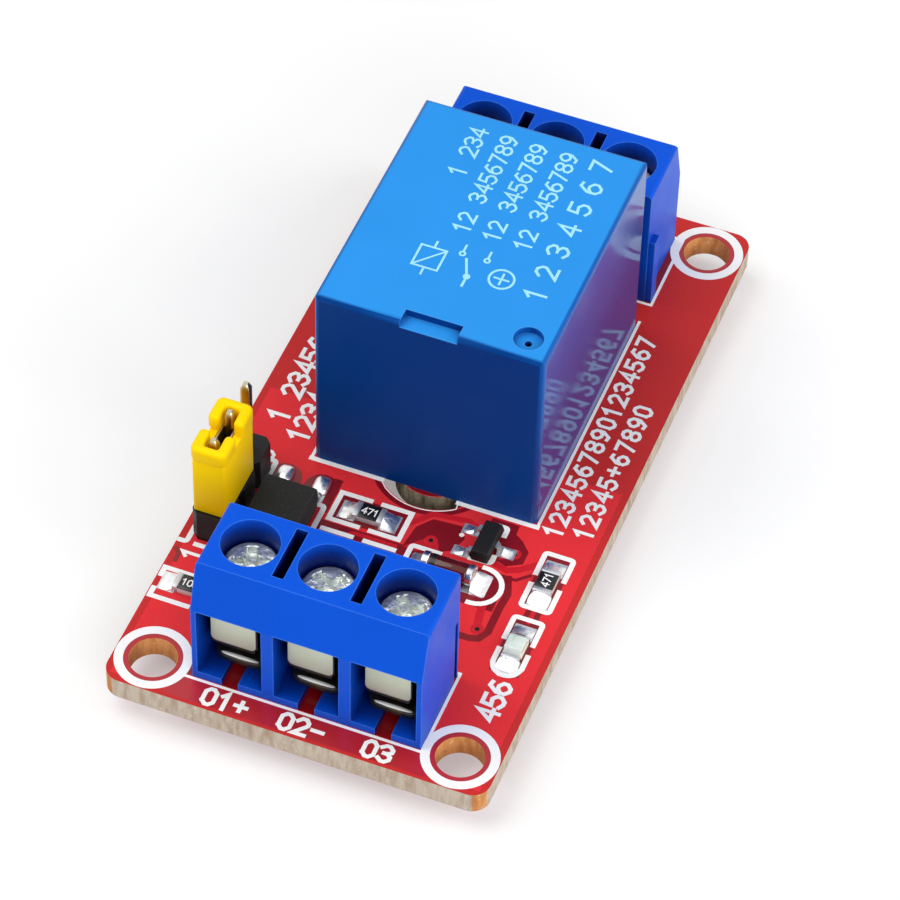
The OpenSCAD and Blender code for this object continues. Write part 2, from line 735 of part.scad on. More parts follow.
// Leaf on the yoke's outside that holds the armature's heel down
module relay_return_spring() {
    heel_z = leaf_z + leaf_t + coil_play / 2;
    w = 0.8 * leaf_w;
    color("peru") translate([-w / 2, yoke_front_y - leaf_t, 0]) {
        translate([0, 0, heel_z / 2]) cube([w, leaf_t, heel_z / 2 + leaf_t]);
        translate([0, 0, heel_z]) cube([w, leaf_t + yoke_t / 2, leaf_t]);
    }
}

// Pin, post and arm of a fixed contact; the button faces the moving contact
module fixed_contact(side, arm_z, button_z) {
    pin_x = side * relay_pin_span / 2;
    arm_x = side * (relay_pin_span / 2 + post_w / 2);
    arm_front_y = button_y - button_d / 2;
    translate([pin_x, switch_pin_y, -board_t - pin_below])
        cylinder(h = board_t + pin_below + base_top_z, d = pin_d);
    translate([pin_x - post_w / 2, switch_pin_y - arm_t / 2, base_lift])
        cube([post_w, arm_t, arm_z + arm_t - base_lift]);
    translate([min(arm_x, -side * button_d / 2), arm_front_y, arm_z])
        cube([abs(arm_x) + button_d / 2, switch_pin_y + arm_t / 2 - arm_front_y, arm_t]);
    translate([0, button_y, button_z]) cylinder(h = button_t, d = button_d);
}

module relay_open_contact() color("peru") fixed_contact(-1, open_z - button_t - arm_t, open_z - button_t);

module relay_closed_contact() color("peru") fixed_contact(1, closed_z + button_t, closed_z);

module relay_common_pin() {
    color("silver") translate([0, common_pin_y, -board_t - pin_below])
        cylinder(h = board_t + pin_below + base_top_z, d = pin_d);
}

module relay_coil_pin(i) {
    color("silver") translate([relay_pins[i][0], relay_pins[i][1], -board_t - pin_below])
        cylinder(h = board_t + pin_below + base_top_z + yoke_t, d = pin_d);
}

// ---------- pin header and jumper ----------

module header_base() {
    c = header_chamfer;
    w = header_w / 2;
    p = header_pitch / 2;
    color("black") on_board() difference() {
        for (y = header_ys) translate([header_x, y, 0]) linear_extrude(header_w)
            polygon([[-w + c, -p], [w - c, -p], [w, -p + c], [w, p - c],
                     [w - c, p], [-w + c, p], [-w, p - c], [-w, -p + c]]);
        for (y = header_ys) translate([header_x, y, header_w / 2])
            cube([header_pin + eps, header_pin + eps, 2 * header_w], center = true);
    }
}

module header_pin_bar(i) {
    color("gold") translate([header_x, header_ys[i - 1], 0])
        tapered_pin(header_pin, -pin_below, board_t + header_pin_h);
}

module jumper_cap() {
    side_w = cap_w - 2 * collar_step;
    side_l = cap_l - 2 * collar_step;
    body_h = cap_h - collar_h;
    color("yellow") difference() {
        union() {
            linear_extrude(body_h + eps) rounded_rect(side_w, side_l, cap_edge_r / 2);
            for (y = [-1, 1]) translate([0, y * (cap_l - collar_l) / 2, body_h])
                soft_box(cap_w, collar_l, collar_h, cap_edge_r, cap_edge_r / 2);
        }
        translate([0, 0, cap_h / 2]) cube([clip_slot_w, clip_slot_l, 2 * cap_h], center = true);
    }
}

module jumper_clip() {
    outer = [clip_slot_w - 2 * clip_play, clip_slot_l - 2 * clip_play];
    clip_z = 0.3;
    color("silver") translate([0, 0, clip_z]) linear_extrude(cap_h - collar_h - clip_z) difference() {
        square(outer, center = true);
        square([outer[0] - 2 * clip_t, outer[1] - 2 * clip_t], center = true);
    }
}

// ---------- flat parts ----------

module optocoupler_body() {
    color("dimgray") difference() {
        translate([0, 0, lead_gap]) tapered_body(opto_w, opto_l, opto_h, lead_gap);
        translate([-opto_w / 2 + opto_dot_inset, -opto_l / 2 + opto_dot_inset,
                   lead_gap + opto_h - lead_gap / 2])
            cylinder(h = 1, d = opto_dot_inset);
    }
}

module optocoupler_leads() {
    color("silver") for (x = [-1, 1], a = [0, 180]) rotate(a)
        translate([x * opto_pitch / 2, opto_l / 2, 0])
            gull_lead(opto_lead_w, opto_lead_t, lead_gap + (opto_h - opto_lead_t) / 2,
                      2 * opto_lead_t, opto_lead_l);
}

module transistor_body() {
    color("black") translate([0, 0, lead_gap / 2])
        tapered_body(transistor_w, transistor_l, transistor_h, lead_gap);
}

module transistor_lead() {
    gull_lead(transistor_lead_w, transistor_lead_t, (lead_gap + transistor_h - transistor_lead_t) / 2,
              transistor_lead_t, transistor_lead_l);
}

module transistor_leads() {
    color("silver") {
        for (y = [-1, 1]) translate([-transistor_w / 2, y * transistor_pitch / 2, 0]) rotate(90)
            transistor_lead();
        translate([transistor_w / 2, 0, 0]) rotate(-90) transistor_lead();
    }
}

// Ceramic chip with a wrapped metal cap at each end
module chip_resistor() {
    waist = chip_l - 2 * chip_cap_l;
    color("darkslategray") {
        translate([-waist / 2, -chip_w / 2 + chip_skin, chip_skin])
            cube([waist, chip_w - 2 * chip_skin, chip_h - 2 * chip_skin]);
        for (x = [-1, 1]) translate([x * (chip_l - chip_cap_l) / 2, 0, chip_h / 2])
            cube([chip_cap_l, chip_w, chip_h], center = true);
    }
}

module power_light_base() {
    color("white") translate([-chip_l / 2, -chip_w / 2, 0]) cube([chip_l, chip_w, light_base_h]);
}

module power_light_lens() {
    color("honeydew") translate([0, 0, light_base_h])
        tapered_lens(chip_l - 2 * light_foot_l, chip_w - 2 * chip_skin, light_lens_h);
}

module tapered_lens(l, w, h) {
    rotate([90, 0, 0]) linear_extrude(w, center = true)
        polygon([[-l / 2, 0], [l / 2, 0], [l / 2 - h / 3, h], [-l / 2 + h / 3, h]]);
}

module diode_glass() {
    color("orangered") rotate([0, 90, 0])
        cylinder(h = diode_l - 2 * diode_cap_l, d = diode_glass_d, center = true);
}

module diode_caps() {
    color("silver") for (x = [-1, 1]) translate([x * (diode_l - diode_cap_l) / 2, 0, 0])
        rotate([0, 90, 0]) cylinder(h = diode_cap_l, d = diode_d, center = true);
}

// Solder fillets between the flat parts' ends and their pads
module pad_solder() {
    color("silver") {
        at_base_resistor() chip_fillets(chip_l, chip_w, chip_h);
        at_light_resistor() chip_fillets(chip_l, chip_w, chip_h);
        at_input_resistor() chip_fillets(chip_l, chip_w, chip_h);
        at_light() chip_fillets(chip_l, chip_w, light_base_h);
        at_diode() translate([0, 0, -diode_d / 2]) chip_fillets(diode_l, diode_d, 0.7 * diode_d);
        at_opto() for (x = [-1, 1], a = [0, 180]) rotate(a)
            translate([x * opto_pitch / 2, opto_l / 2 + opto_lead_l, 0]) rotate(90)
                solder_wedge(fillet_l, 2 * opto_lead_w, 2 * opto_lead_t);
        at_transistor() {
            for (y = [-1, 1])
                translate([-transistor_w / 2 - transistor_lead_l, y * transistor_pitch / 2, 0])
                    rotate(180) transistor_fillet();
            translate([transistor_w / 2 + transistor_lead_l, 0, 0]) transistor_fillet();
        }
    }
}

module chip_fillets(l, w, h) {
    for (a = [0, 180]) rotate(a) translate([l / 2, 0, 0])
        solder_wedge(fillet_l, 0.95 * w, 0.85 * h);
}

module transistor_fillet() {
    solder_wedge(fillet_l / 2, 1.5 * transistor_lead_w, 2 * transistor_lead_t);
}

// ---------- nodes ----------

circuit_board();
for (side = sides) at_block(side) {
    terminal_housing();
    for (i = [1:poles]) at_pole(i) {
        terminal_clamp();
        wire_guard();
        terminal_screw();
    }
}
at_relay() {
    relay_case();
    relay_base();
    relay_bobbin();
    relay_winding();
    relay_core();
    relay_yoke();
    relay_armature();
    relay_contact_spring();
    relay_moving_contact();
    relay_return_spring();
    relay_open_contact();
    relay_closed_contact();
    relay_common_pin();
    for (i = [1:coil_pins]) relay_coil_pin(i);
}
header_base();
for (i = [1:header_pins]) header_pin_bar(i);
at_jumper() jumper_cap();
at_jumper() jumper_clip();
at_opto() optocoupler_body();
at_opto() optocoupler_leads();
at_transistor() transistor_body();
at_transistor() transistor_leads();
at_base_resistor() chip_resistor();  // base_resistor
at_light_resistor() chip_resistor();  // light_resistor
at_input_resistor() chip_resistor();  // input_resistor
at_light() power_light_base();
at_light() power_light_lens();
at_diode() diode_glass();
at_diode() diode_caps();
pin_solder();
pad_solder();
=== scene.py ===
import math

import bmesh
import bpy
from mathutils import Matrix, Vector


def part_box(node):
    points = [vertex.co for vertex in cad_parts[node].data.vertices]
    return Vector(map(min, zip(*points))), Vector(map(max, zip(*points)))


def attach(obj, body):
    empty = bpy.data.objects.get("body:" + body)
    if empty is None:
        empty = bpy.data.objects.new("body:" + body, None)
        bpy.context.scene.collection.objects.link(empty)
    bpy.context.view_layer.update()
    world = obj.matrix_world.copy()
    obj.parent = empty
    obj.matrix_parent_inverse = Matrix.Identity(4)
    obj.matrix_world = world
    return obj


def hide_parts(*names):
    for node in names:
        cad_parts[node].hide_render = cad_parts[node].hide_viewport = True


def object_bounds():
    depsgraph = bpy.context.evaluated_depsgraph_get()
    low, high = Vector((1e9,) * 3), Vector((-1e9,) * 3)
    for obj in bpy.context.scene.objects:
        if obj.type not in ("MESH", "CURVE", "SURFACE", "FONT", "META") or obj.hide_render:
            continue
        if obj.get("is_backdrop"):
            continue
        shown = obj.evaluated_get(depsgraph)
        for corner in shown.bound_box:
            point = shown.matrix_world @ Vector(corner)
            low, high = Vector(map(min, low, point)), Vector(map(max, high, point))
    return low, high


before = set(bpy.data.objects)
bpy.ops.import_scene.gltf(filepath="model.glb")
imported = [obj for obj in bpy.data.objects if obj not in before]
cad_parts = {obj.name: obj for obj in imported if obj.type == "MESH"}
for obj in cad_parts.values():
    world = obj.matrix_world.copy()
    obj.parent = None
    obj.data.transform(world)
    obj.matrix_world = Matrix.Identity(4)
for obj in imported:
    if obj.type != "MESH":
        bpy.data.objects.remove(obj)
cad_low, cad_high = (corner.copy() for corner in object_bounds())

MM = 0.001


def span(node):
    """Lowest and highest corner of a frame node, in mm."""
    low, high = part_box(node)
    return low / MM, high / MM


def middle(node):
    low, high = span(node)
    return (low.x + high.x) / 2, (low.y + high.y) / 2


board_low, board_high = span("circuit_board")
relay_low, relay_high = span("relay_case")
block_low, block_high = span("input_terminal_housing")
out_low, out_high = span("output_terminal_housing")
slot_x, slot_y = middle("relay_common_pin")
base_r, light_r, input_r = (middle(f"{name}_resistor") for name in ("base", "light", "input"))
light_at = middle("power_light_base")
diode_at = middle("diode_glass")
opto_at = middle("optocoupler_body")
chip_at = middle("transistor_body")
VIAS = [(2.25, -7.6), (7.59, -6.67), (7.56, -13.22)]
SCREW_HOLES = [(x, y) for x in (-10.2, 10.2) for y in (-22.9, 22.9)]
POLE_PITCH = 5.08
OPTO_LEAD_X = 1.27

# Heights of the thin sheets on the board, each a little above the one before.
BOARD_TOP = board_high.z
GAP_Z = BOARD_TOP + 0.017
TRACK_Z = BOARD_TOP + 0.022
PAD_Z = BOARD_TOP + 0.028
PRINT_Z = BOARD_TOP + 0.034


# ---------- effects shared by the finishes ----------

def shade(red, green, blue):
    """Linear colour of an 8-bit red, green and blue."""
    def linear(value):
        value /= 255
        return value / 12.92 if value < 0.04045 else ((value + 0.055) / 1.055) ** 2.4
    return (linear(red), linear(green), linear(blue), 1.0)


BLACK, GREY, WHITE = (0, 0, 0, 1), (0.5, 0.5, 0.5, 1), (1, 1, 1, 1)


def feed(tree, socket, value):
    """Sets a socket to a plain value, or links it where the value is a socket."""
    if isinstance(value, bpy.types.NodeSocket):
        tree.links.new(value, socket)
    else:
        socket.default_value = value


def add_node(tree, kind, values=(), **settings):
    """Shader node with its settings made and its sockets fed, in order or by name."""
    node = tree.nodes.new("ShaderNode" + kind)
    for label, value in settings.items():
        setattr(node, label, value)
    for key, value in (values.items() if isinstance(values, dict) else enumerate(values)):
        feed(tree, node.inputs[key], value)
    return node


def sum_of(tree, operation, *values, clamp=False):
    """Outcome of one step of arithmetic on shader values."""
    return add_node(tree, "Math", values, operation=operation, use_clamp=clamp).outputs[0]


def ramp(tree, value, gain, shift):
    """Straight rise held between nought and one."""
    return sum_of(tree, "MULTIPLY_ADD", value, gain, shift, clamp=True)


def blend(tree, amount, below, above):
    mixed = add_node(tree, "Mix", {"Factor": amount, "A": below, "B": above}, data_type="RGBA")
    return mixed.outputs["Result"]


def object_place(tree, stretch=None):
    """Object coordinates in metres, stretched along the axes where asked."""
    place = add_node(tree, "TexCoord").outputs["Object"]
    if stretch is None:
        return place
    return add_node(tree, "VectorMath", (place, stretch), operation="MULTIPLY").outputs[0]


def axes(tree, vector):
    return add_node(tree, "SeparateXYZ", (vector,)).outputs


def normal(tree):
    return add_node(tree, "NewGeometry").outputs["Normal"]


def cloud(tree, place, scale, detail=2.0):
    return add_node(tree, "TexNoise", {"Vector": place, "Scale": scale, "Detail": detail}).outputs["Fac"]


def start_effect(name, outputs, **inputs):
    """Node group with named sockets; returns it with what it is given and what it gives back."""
    group = bpy.data.node_groups.new(name, "ShaderNodeTree")
    kinds = {1: "NodeSocketFloat", 3: "NodeSocketVector", 4: "NodeSocketColor"}
    for label, value in inputs.items():
        kind = kinds[len(value) if isinstance(value, tuple) else 1]
        socket = group.interface.new_socket(label.replace("_", " "), in_out="INPUT", socket_type=kind)
        socket.default_value = value
    for label in outputs:
        kind = kinds[4 if label == "Colour" else 1]
        group.interface.new_socket(label, in_out="OUTPUT", socket_type=kind)
    given = group.nodes.new("NodeGroupInput").outputs
    return group, given, group.nodes.new("NodeGroupOutput").inputs


def make_moulded_skin():
    """Slow change of shade and gloss with a fine grain, as moulded plastic has."""
    group, given, back = start_effect(
        "moulded skin", ("Colour", "Roughness", "Height"), Colour=GREY, Shade_Swing=0.08, Patch_Scale=250.0,
        Grain_Scale=9000.0, Gloss_Level=0.35, Gloss_Swing=0.1)
    place = object_place(group)
    patches = sum_of(group, "SUBTRACT", cloud(group, place, given["Patch Scale"], 3.0), 0.5)
    swing = sum_of(group, "MULTIPLY", patches, given["Shade Swing"])
    lift = sum_of(group, "MULTIPLY_ADD", swing, 4.0, 1.0)
    lifted = add_node(group, "VectorMath", {0: given["Colour"], "Scale": lift}, operation="SCALE").outputs[0]
    feed(group, back["Colour"], lifted)
    gloss = sum_of(group, "MULTIPLY_ADD", patches, given["Gloss Swing"], given["Gloss Level"])
    feed(group, back["Roughness"], gloss)
    feed(group, back["Height"], cloud(group, place, given["Grain Scale"], 4.0))
    return group


def masked_effect(name, other, find_mask, **inputs):
    """Effect that lays another colour over the given one where its mask says."""
    group, given, back = start_effect(name, ("Colour", "Mask"), Colour=GREY, **inputs)
    mask = find_mask(group, given)
    feed(group, back["Colour"], blend(group, mask, given["Colour"], given[other]))
    feed(group, back["Mask"], mask)
    return group


def edge_highlight_mask(group, given):
    """Mask that rises where a face's own direction leaves that of its rounded surroundings."""
    rounded = add_node(group, "Bevel", {"Radius": given["Reach"]}, samples=4).outputs[0]
    meet = add_node(group, "VectorMath", (rounded, normal(group)), operation="DOT_PRODUCT").outputs["Value"]
    return sum_of(group, "MULTIPLY", sum_of(group, "SUBTRACT", 1.0, meet), given["Strength"], clamp=True)


def scattered_grains(group, given):
    grains = cloud(group, object_place(group), given["Scale"], 5.0)
    return sum_of(group, "MULTIPLY", ramp(group, grains, 6.0, -3.6), given["Share"], clamp=True)


def hollow_shade_mask(group, given):
    # Mask for painted shade, rising where the surroundings hide the open air.
    open_enough = 0.3
    open_air = add_node(group, "AmbientOcclusion", {"Distance": given["Reach"]}, samples=6).outputs["AO"]
    hidden = sum_of(group, "SUBTRACT", sum_of(group, "SUBTRACT", 1.0, open_air), open_enough)
    return sum_of(group, "MULTIPLY", hidden, given["Strength"], clamp=True)


def make_worked_metal():
    """Drawn or rolled metal: streaks, tarnish patches and a little ripple."""
    group, given, back = start_effect(
        "worked metal", ("Colour", "Roughness", "Height"), Colour=(0.7, 0.7, 0.7, 1),
        Tarnish=(0.3, 0.3, 0.3, 1), Tarnish_Share=0.4, Stretch=(1.0, 1.0, 1.0), Streak_Scale=1500.0,
        Gloss_Level=0.25, Gloss_Swing=0.2)
    streaks = cloud(group, object_place(group, given["Stretch"]), given["Streak Scale"], 3.0)
    patches = cloud(group, object_place(group), sum_of(group, "MULTIPLY", given["Streak Scale"], 0.4))
    worn = sum_of(group, "MULTIPLY", ramp(group, patches, 2.4, -0.8), given["Tarnish Share"], clamp=True)
    feed(group, back["Colour"], blend(group, worn, given["Colour"], given["Tarnish"]))
    feed(group, back["Roughness"], ramp(group, streaks, given["Gloss Swing"], given["Gloss Level"]))
    feed(group, back["Height"], streaks)
    return group


MOULDED_SKIN = make_moulded_skin()
# Painted shade: deeper colour in wells, slots and corners, where less light reaches.
PAINTED_HOLLOW_SHADE = masked_effect("painted hollow shade", "Deep Colour", hollow_shade_mask, Deep_Colour=BLACK, Reach=0.004,
                             Strength=1.4)
# Painted highlight: paler colour on outside edges, where light catches them.
PAINTED_EDGE_HIGHLIGHT = masked_effect("painted edge highlight", "Edge Colour", edge_highlight_mask, Edge_Colour=WHITE, Reach=0.0001,
                           Strength=3.0)
WORKED_METAL = make_worked_metal()
# Small pale or dark specks scattered over a colour.
FINE_SPECKS = masked_effect("fine specks", "Speck Colour", scattered_grains, Speck_Colour=WHITE, Scale=3000.0,
                            Share=0.3)


# ---------- finishes ----------

class Finish:
    """Principled material in the making; constants go on the shader's own sockets."""

    def __init__(self, name, **constants):
        self.material = bpy.data.materials.new(name)
        self.material.use_nodes = True
        self.tree = self.material.node_tree
        self.shader = self.tree.nodes["Principled BSDF"]
        self.link(**constants)

    def effect(self, group, **values):
        node = self.tree.nodes.new("ShaderNodeGroup")
        node.node_tree = group
        for label, value in values.items():
            feed(self.tree, node.inputs[label.replace("_", " ")], value)
        return node.outputs

    def link(self, **values):
        for label, value in values.items():
            feed(self.tree, self.shader.inputs[label.replace("_", " ")], value)

    def now(self, label):
        """Socket that feeds one of the shader's own sockets."""
        return self.shader.inputs[label].links[0].from_socket

    def specked(self, surface, colour, scale, share):
        return self.effect(FINE_SPECKS, Colour=surface, Speck_Colour=shade(*colour), Scale=scale,
                           Share=share)["Colour"]

    # Lays painted shade in the hollows of a surface.
    def painted_shade_over(self, surface, colour, reach, strength):
        return self.effect(PAINTED_HOLLOW_SHADE, Colour=surface, Deep_Colour=shade(*colour), Reach=reach,
                           Strength=strength)["Colour"]

    def skin(self, colour, swing, patch, grain, gloss, gloss_swing):
        """Moulded skin over a colour; its gloss goes on the shader."""
        made = self.effect(MOULDED_SKIN, Colour=colour, Shade_Swing=swing, Patch_Scale=patch,
                           Grain_Scale=grain, Gloss_Level=gloss, Gloss_Swing=gloss_swing)
        self.link(Roughness=made["Roughness"])
        return made

    def relief(self, height, depth_mm):
        bump = add_node(self.tree, "Bump", {"Distance": depth_mm * MM, "Strength": 1.0, "Height": height})
        self.link(Normal=bump.outputs["Normal"])


def moulded_plastic(name, colour, edge, rough=0.35, swing=0.06, grain=7000.0, grain_mm=0.004,
                    reach=0.00012, highlight_strength=2.5, specks=None, deep=None, **constants):
    """Plastic with a moulded skin and a painted highlight on its edges; specks, and painted shade in hollows,
    where given.
    """
    finish = Finish(name, **constants)
    skin = finish.skin(shade(*colour), swing, 250.0, grain, rough, 0.25)
    # The edge colour is a painted highlight on outside edges; deep gives painted shade in hollows.
    surface = finish.effect(PAINTED_EDGE_HIGHLIGHT, Colour=skin["Colour"], Edge_Colour=shade(*edge), Reach=reach,
                            Strength=highlight_strength)["Colour"]
    if specks:
        surface = finish.specked(surface, *specks)
    if deep:
        surface = finish.painted_shade_over(surface, *deep)
    finish.link(Base_Color=surface)
    finish.relief(skin["Height"], grain_mm)
    return finish


def plated_metal(name, colour, tarnish, share=0.4, stretch=(1, 1, 1), streak=1500.0, rough=0.2,
                 rough_swing=0.25, relief_mm=0.006, **constants):
    finish = Finish(name, **{"Metallic": 1.0, **constants})
    metal = finish.effect(WORKED_METAL, Colour=shade(*colour), Tarnish=shade(*tarnish), Tarnish_Share=share,
                          Stretch=stretch, Streak_Scale=streak, Gloss_Level=rough, Gloss_Swing=rough_swing)
    finish.link(Base_Color=metal["Colour"], Roughness=metal["Roughness"])
    finish.relief(metal["Height"], relief_mm)
    return finish


def relay_blue():
    """Satin light blue on top; deep blue sides, the long ones polished. The sides' deeper blue is painted
    shade, and the long ones' paler blue towards their top a painted reflection.
    """
    end_dulling, top_dulling = 0.3, 0.34
    finish = moulded_plastic("relay case blue", (44, 146, 230), (110, 190, 250), rough=0.1, swing=0.02,
                             grain=1400.0, grain_mm=0.0025, reach=0.00015, highlight_strength=1.6,
                             Specular_IOR_Level=0.22, Specular_Tint=shade(110, 180, 255))
    tree = finish.tree
    facing = axes(tree, normal(tree))
    top = ramp(tree, facing["Z"], 6.0, -5.0)
    long_side = sum_of(tree, "ABSOLUTE", facing["X"], clamp=True)
    short_side = sum_of(tree, "ABSOLUTE", facing["Y"], clamp=True)
    rise = ramp(tree, axes(tree, object_place(tree))["Z"], 110.0, -0.85)
    # Painted shade: sides darker than the top; painted reflection: long sides paler towards their top.
    deep = blend(tree, long_side, shade(0, 54, 124), blend(tree, rise, shade(2, 62, 138), shade(24, 96, 186)))
    colour = finish.now("Base Color")
    # Painted highlight on the sides' edges.
    deep = blend(tree, colour.node.outputs["Mask"], deep, shade(60, 140, 220))
    # Painted shade in the dimple and the notch.
    surface = finish.painted_shade_over(blend(tree, top, deep, colour), (6, 52, 124), 0.0009, 1.6)
    rough = sum_of(tree, "MULTIPLY_ADD", short_side, end_dulling, finish.now("Roughness"))
    finish.link(Base_Color=surface, Roughness=sum_of(tree, "MULTIPLY_ADD", top, top_dulling, rough))
    return finish


def board_laminate():
    """Glass-fibre laminate: pale pinkish outside edge, warmer in the holes and greyer in the slot."""
    skin_mm, slot_reach_mm = 0.08, 18.0
    finish = Finish("board laminate", Roughness=0.7, Specular_IOR_Level=0.3)
    tree = finish.tree
    place = axes(tree, object_place(tree))
    across, along = (sum_of(tree, "ABSOLUTE", place[axis]) for axis in ("X", "Y"))
    outside = sum_of(tree, "MAXIMUM", sum_of(tree, "GREATER_THAN", across, (board_high.x - skin_mm) * MM),
                     sum_of(tree, "GREATER_THAN", along, (board_high.y - skin_mm) * MM))
    slot = sum_of(tree, "LESS_THAN", along, slot_reach_mm * MM)
    fresh = blend(tree, outside, blend(tree, slot, shade(226, 160, 96), shade(172, 158, 132)),
                  shade(206, 192, 174))
    worn = blend(tree, outside, blend(tree, slot, shade(190, 118, 62), shade(84, 72, 54)),
                 shade(172, 146, 124))
    layers = cloud(tree, object_place(tree, (2400.0, 2400.0, 500.0)), 1.0, 4.0)
    colour = blend(tree, ramp(tree, layers, 3.0, -1.2), fresh, worn)
    finish.link(Base_Color=finish.specked(colour, (240, 224, 206), 4200.0, 0.7))
    finish.relief(cloud(tree, object_place(tree), 4500.0, 4.0), 0.05)
    return finish


def board_mask(name, copper, bare, back_edge):
    """Red solder mask; brighter over the copper pour, which stops short of the board's edges."""
    rim_mm = 0.48
    finish = Finish(name, Specular_IOR_Level=0.25, Specular_Tint=shade(255, 150, 150))
    tree = finish.tree
    place = axes(tree, object_place(tree))
    beside = sum_of(tree, "LESS_THAN", sum_of(tree, "ABSOLUTE", place["X"]), (board_high.x - rim_mm) * MM)
    before = sum_of(tree, "LESS_THAN", place["Y"], back_edge)
    behind = sum_of(tree, "GREATER_THAN", place["Y"], (board_low.y + rim_mm) * MM)
    pour = sum_of(tree, "MULTIPLY", beside, sum_of(tree, "MULTIPLY", before, behind))
    skin = finish.skin(blend(tree, pour, shade(*bare), shade(*copper)), 0.04, 160.0, 2600.0, 0.3, 0.2)
    finish.link(Base_Color=finish.specked(skin["Colour"], (252, 96, 90), 7000.0, 0.22))
    finish.relief(sum_of(tree, "MULTIPLY_ADD", pour, 5.0, skin["Height"]), 0.006)
    return finish


def gold_pin():
    """Gold plate that thins to pale tin at the cut tips."""
    finish = plated_metal("gold pin", (204, 160, 84), (126, 88, 40), share=0.5, stretch=(1, 1, 0.15),
                          rough=0.16)
    tree = finish.tree
    height = axes(tree, object_place(tree))["Z"]
    # The tin begins 9.5 mm above the board's underside and just below it.
    above, below = ramp(tree, height, 1600.0, -15.2), ramp(tree, height, -2500.0, -0.2)
    bare = sum_of(tree, "MAXIMUM", above, below)
    finish.link(Base_Color=blend(tree, bare, finish.now("Base Color"), shade(196, 188, 164)))
    return finish


def winding_copper():
    """Enamelled wire: one bright ridge for each turn."""
    turns_scale = 1900.0
    finish = plated_metal("coil wire", (186, 92, 48), (112, 46, 22), share=0.5, rough=0.25)
    place = object_place(finish.tree, (0.0, 0.0, turns_scale))
    wave = add_node(finish.tree, "TexWave", {"Scale": 1.0, "Distortion": 0.6, "Vector": place},
                    bands_direction="Z")
    finish.relief(wave.outputs["Fac"], 0.06)
    return finish


def clear_lens():
    """Milky clear resin with a faint green cast."""
    finish = Finish("light lens", Transmission_Weight=0.2, IOR=1.5, Coat_Weight=0.5, Coat_Roughness=0.08)
    skin = finish.skin(shade(240, 252, 242), 0.06, 1600.0, 6000.0, 0.12, 0.2)
    finish.link(Base_Color=finish.specked(skin["Colour"], (84, 200, 134), 4200.0, 1.0))
    finish.relief(skin["Height"], 0.004)
    return finish


def amber_glass():
    finish = Finish("diode glass", Transmission_Weight=0.5, IOR=1.5, Roughness=0.05)
    skin = finish.skin(shade(112, 26, 22), 0.3, 1500.0, 3000.0, 0.06, 0.05)
    finish.link(Base_Color=skin["Colour"])
    return finish


SILVER, DULL_TIN = (214, 216, 218), (120, 122, 124)
MASK_GRAIN = {"swing": 0.1, "grain": 2600.0}
CHIP_GRAIN = {"swing": 0.2, "grain": 4200.0}

laminate = board_laminate()
mask_top = board_mask("board mask top", (232, 52, 58), (202, 48, 48), 0.0006)
mask_under = board_mask("board mask under", (222, 42, 50), (178, 32, 36), 0.0240)
bare_gap = moulded_plastic("mask over bare board", (132, 8, 18), (150, 14, 20), rough=0.3, **MASK_GRAIN)
bare_rim = moulded_plastic("mask at the bare rim", (178, 30, 42), (190, 36, 46), rough=0.3, **MASK_GRAIN)
raised_track = moulded_plastic("mask over track", (206, 26, 36), (240, 70, 70), rough=0.28, grain=2600.0)
white_print = moulded_plastic("white print", (252, 251, 248), (250, 250, 250), rough=0.6, swing=0.03,
                              grain=6000.0, grain_mm=0.01)
cyan_print = moulded_plastic("pale print", (158, 226, 240), (176, 232, 242), rough=0.5, grain=5000.0,
                             grain_mm=0.01, specks=((96, 184, 240), 4200.0, 0.6))
# deep lays painted shade in the wells and slots; the edge colour is a painted highlight.
terminals = moulded_plastic("terminal blue", (8, 82, 212), (84, 150, 250), rough=0.42, swing=0.04,
                            grain_mm=0.006, specks=((36, 108, 236), 5200.0, 0.25),
                            deep=((2, 14, 84), 0.004, 2.3), Specular_IOR_Level=0.2,
                            Specular_Tint=shade(130, 190, 255))
relay_case = relay_blue()
relay_floor = moulded_plastic("relay base blue", (10, 60, 132), (40, 100, 180), rough=0.45)
bobbin = moulded_plastic("bobbin white", (226, 222, 206), (240, 238, 228), rough=0.5)
coil_wire = winding_copper()
relay_iron = plated_metal("relay iron", (150, 154, 160), (86, 88, 92), share=0.6, streak=900.0)
bronze_leaf = plated_metal("bronze leaf", (206, 142, 88), (142, 88, 50), stretch=(1, 0.1, 1))
contact_silver = plated_metal("contact silver", (226, 226, 222), (160, 158, 150), share=0.3)
tinned = plated_metal("tinned pin", SILVER, DULL_TIN, rough=0.34)
solder = plated_metal("solder", (250, 251, 250), (150, 152, 156), streak=2200.0, relief_mm=0.06)
clamp_tin = plated_metal("clamp tin", (128, 124, 106), (62, 56, 42), share=0.7, streak=700.0, rough=0.25)
guard_steel = plated_metal("guard steel", (188, 194, 178), (160, 164, 144), share=0.3, stretch=(1, 1, 0.1),
                           streak=900.0, rough=0.42)
# The guard's curl and foot: the same steel coloured dark as painted shade.
guard_curl_painted_shade = plated_metal("guard curl painted shade", (74, 70, 52), (30, 28, 20), share=0.5, streak=900.0, rough=0.3)
# White ridge on the tinned clamp: painted highlight.
ridge_painted_highlight = moulded_plastic("ridge painted highlight", (253, 253, 248), (255, 255, 252), rough=0.22, swing=0.03,
                             Specular_IOR_Level=0.9)
screw_zinc = plated_metal("screw zinc", (250, 255, 246), (116, 128, 124), rough=0.22, rough_swing=0.2,
                          relief_mm=0.16, Metallic=0.8)
header_black = moulded_plastic("header black", (20, 18, 18), (58, 54, 52), rough=0.5, grain_mm=0.006,
                               Specular_IOR_Level=0.25)
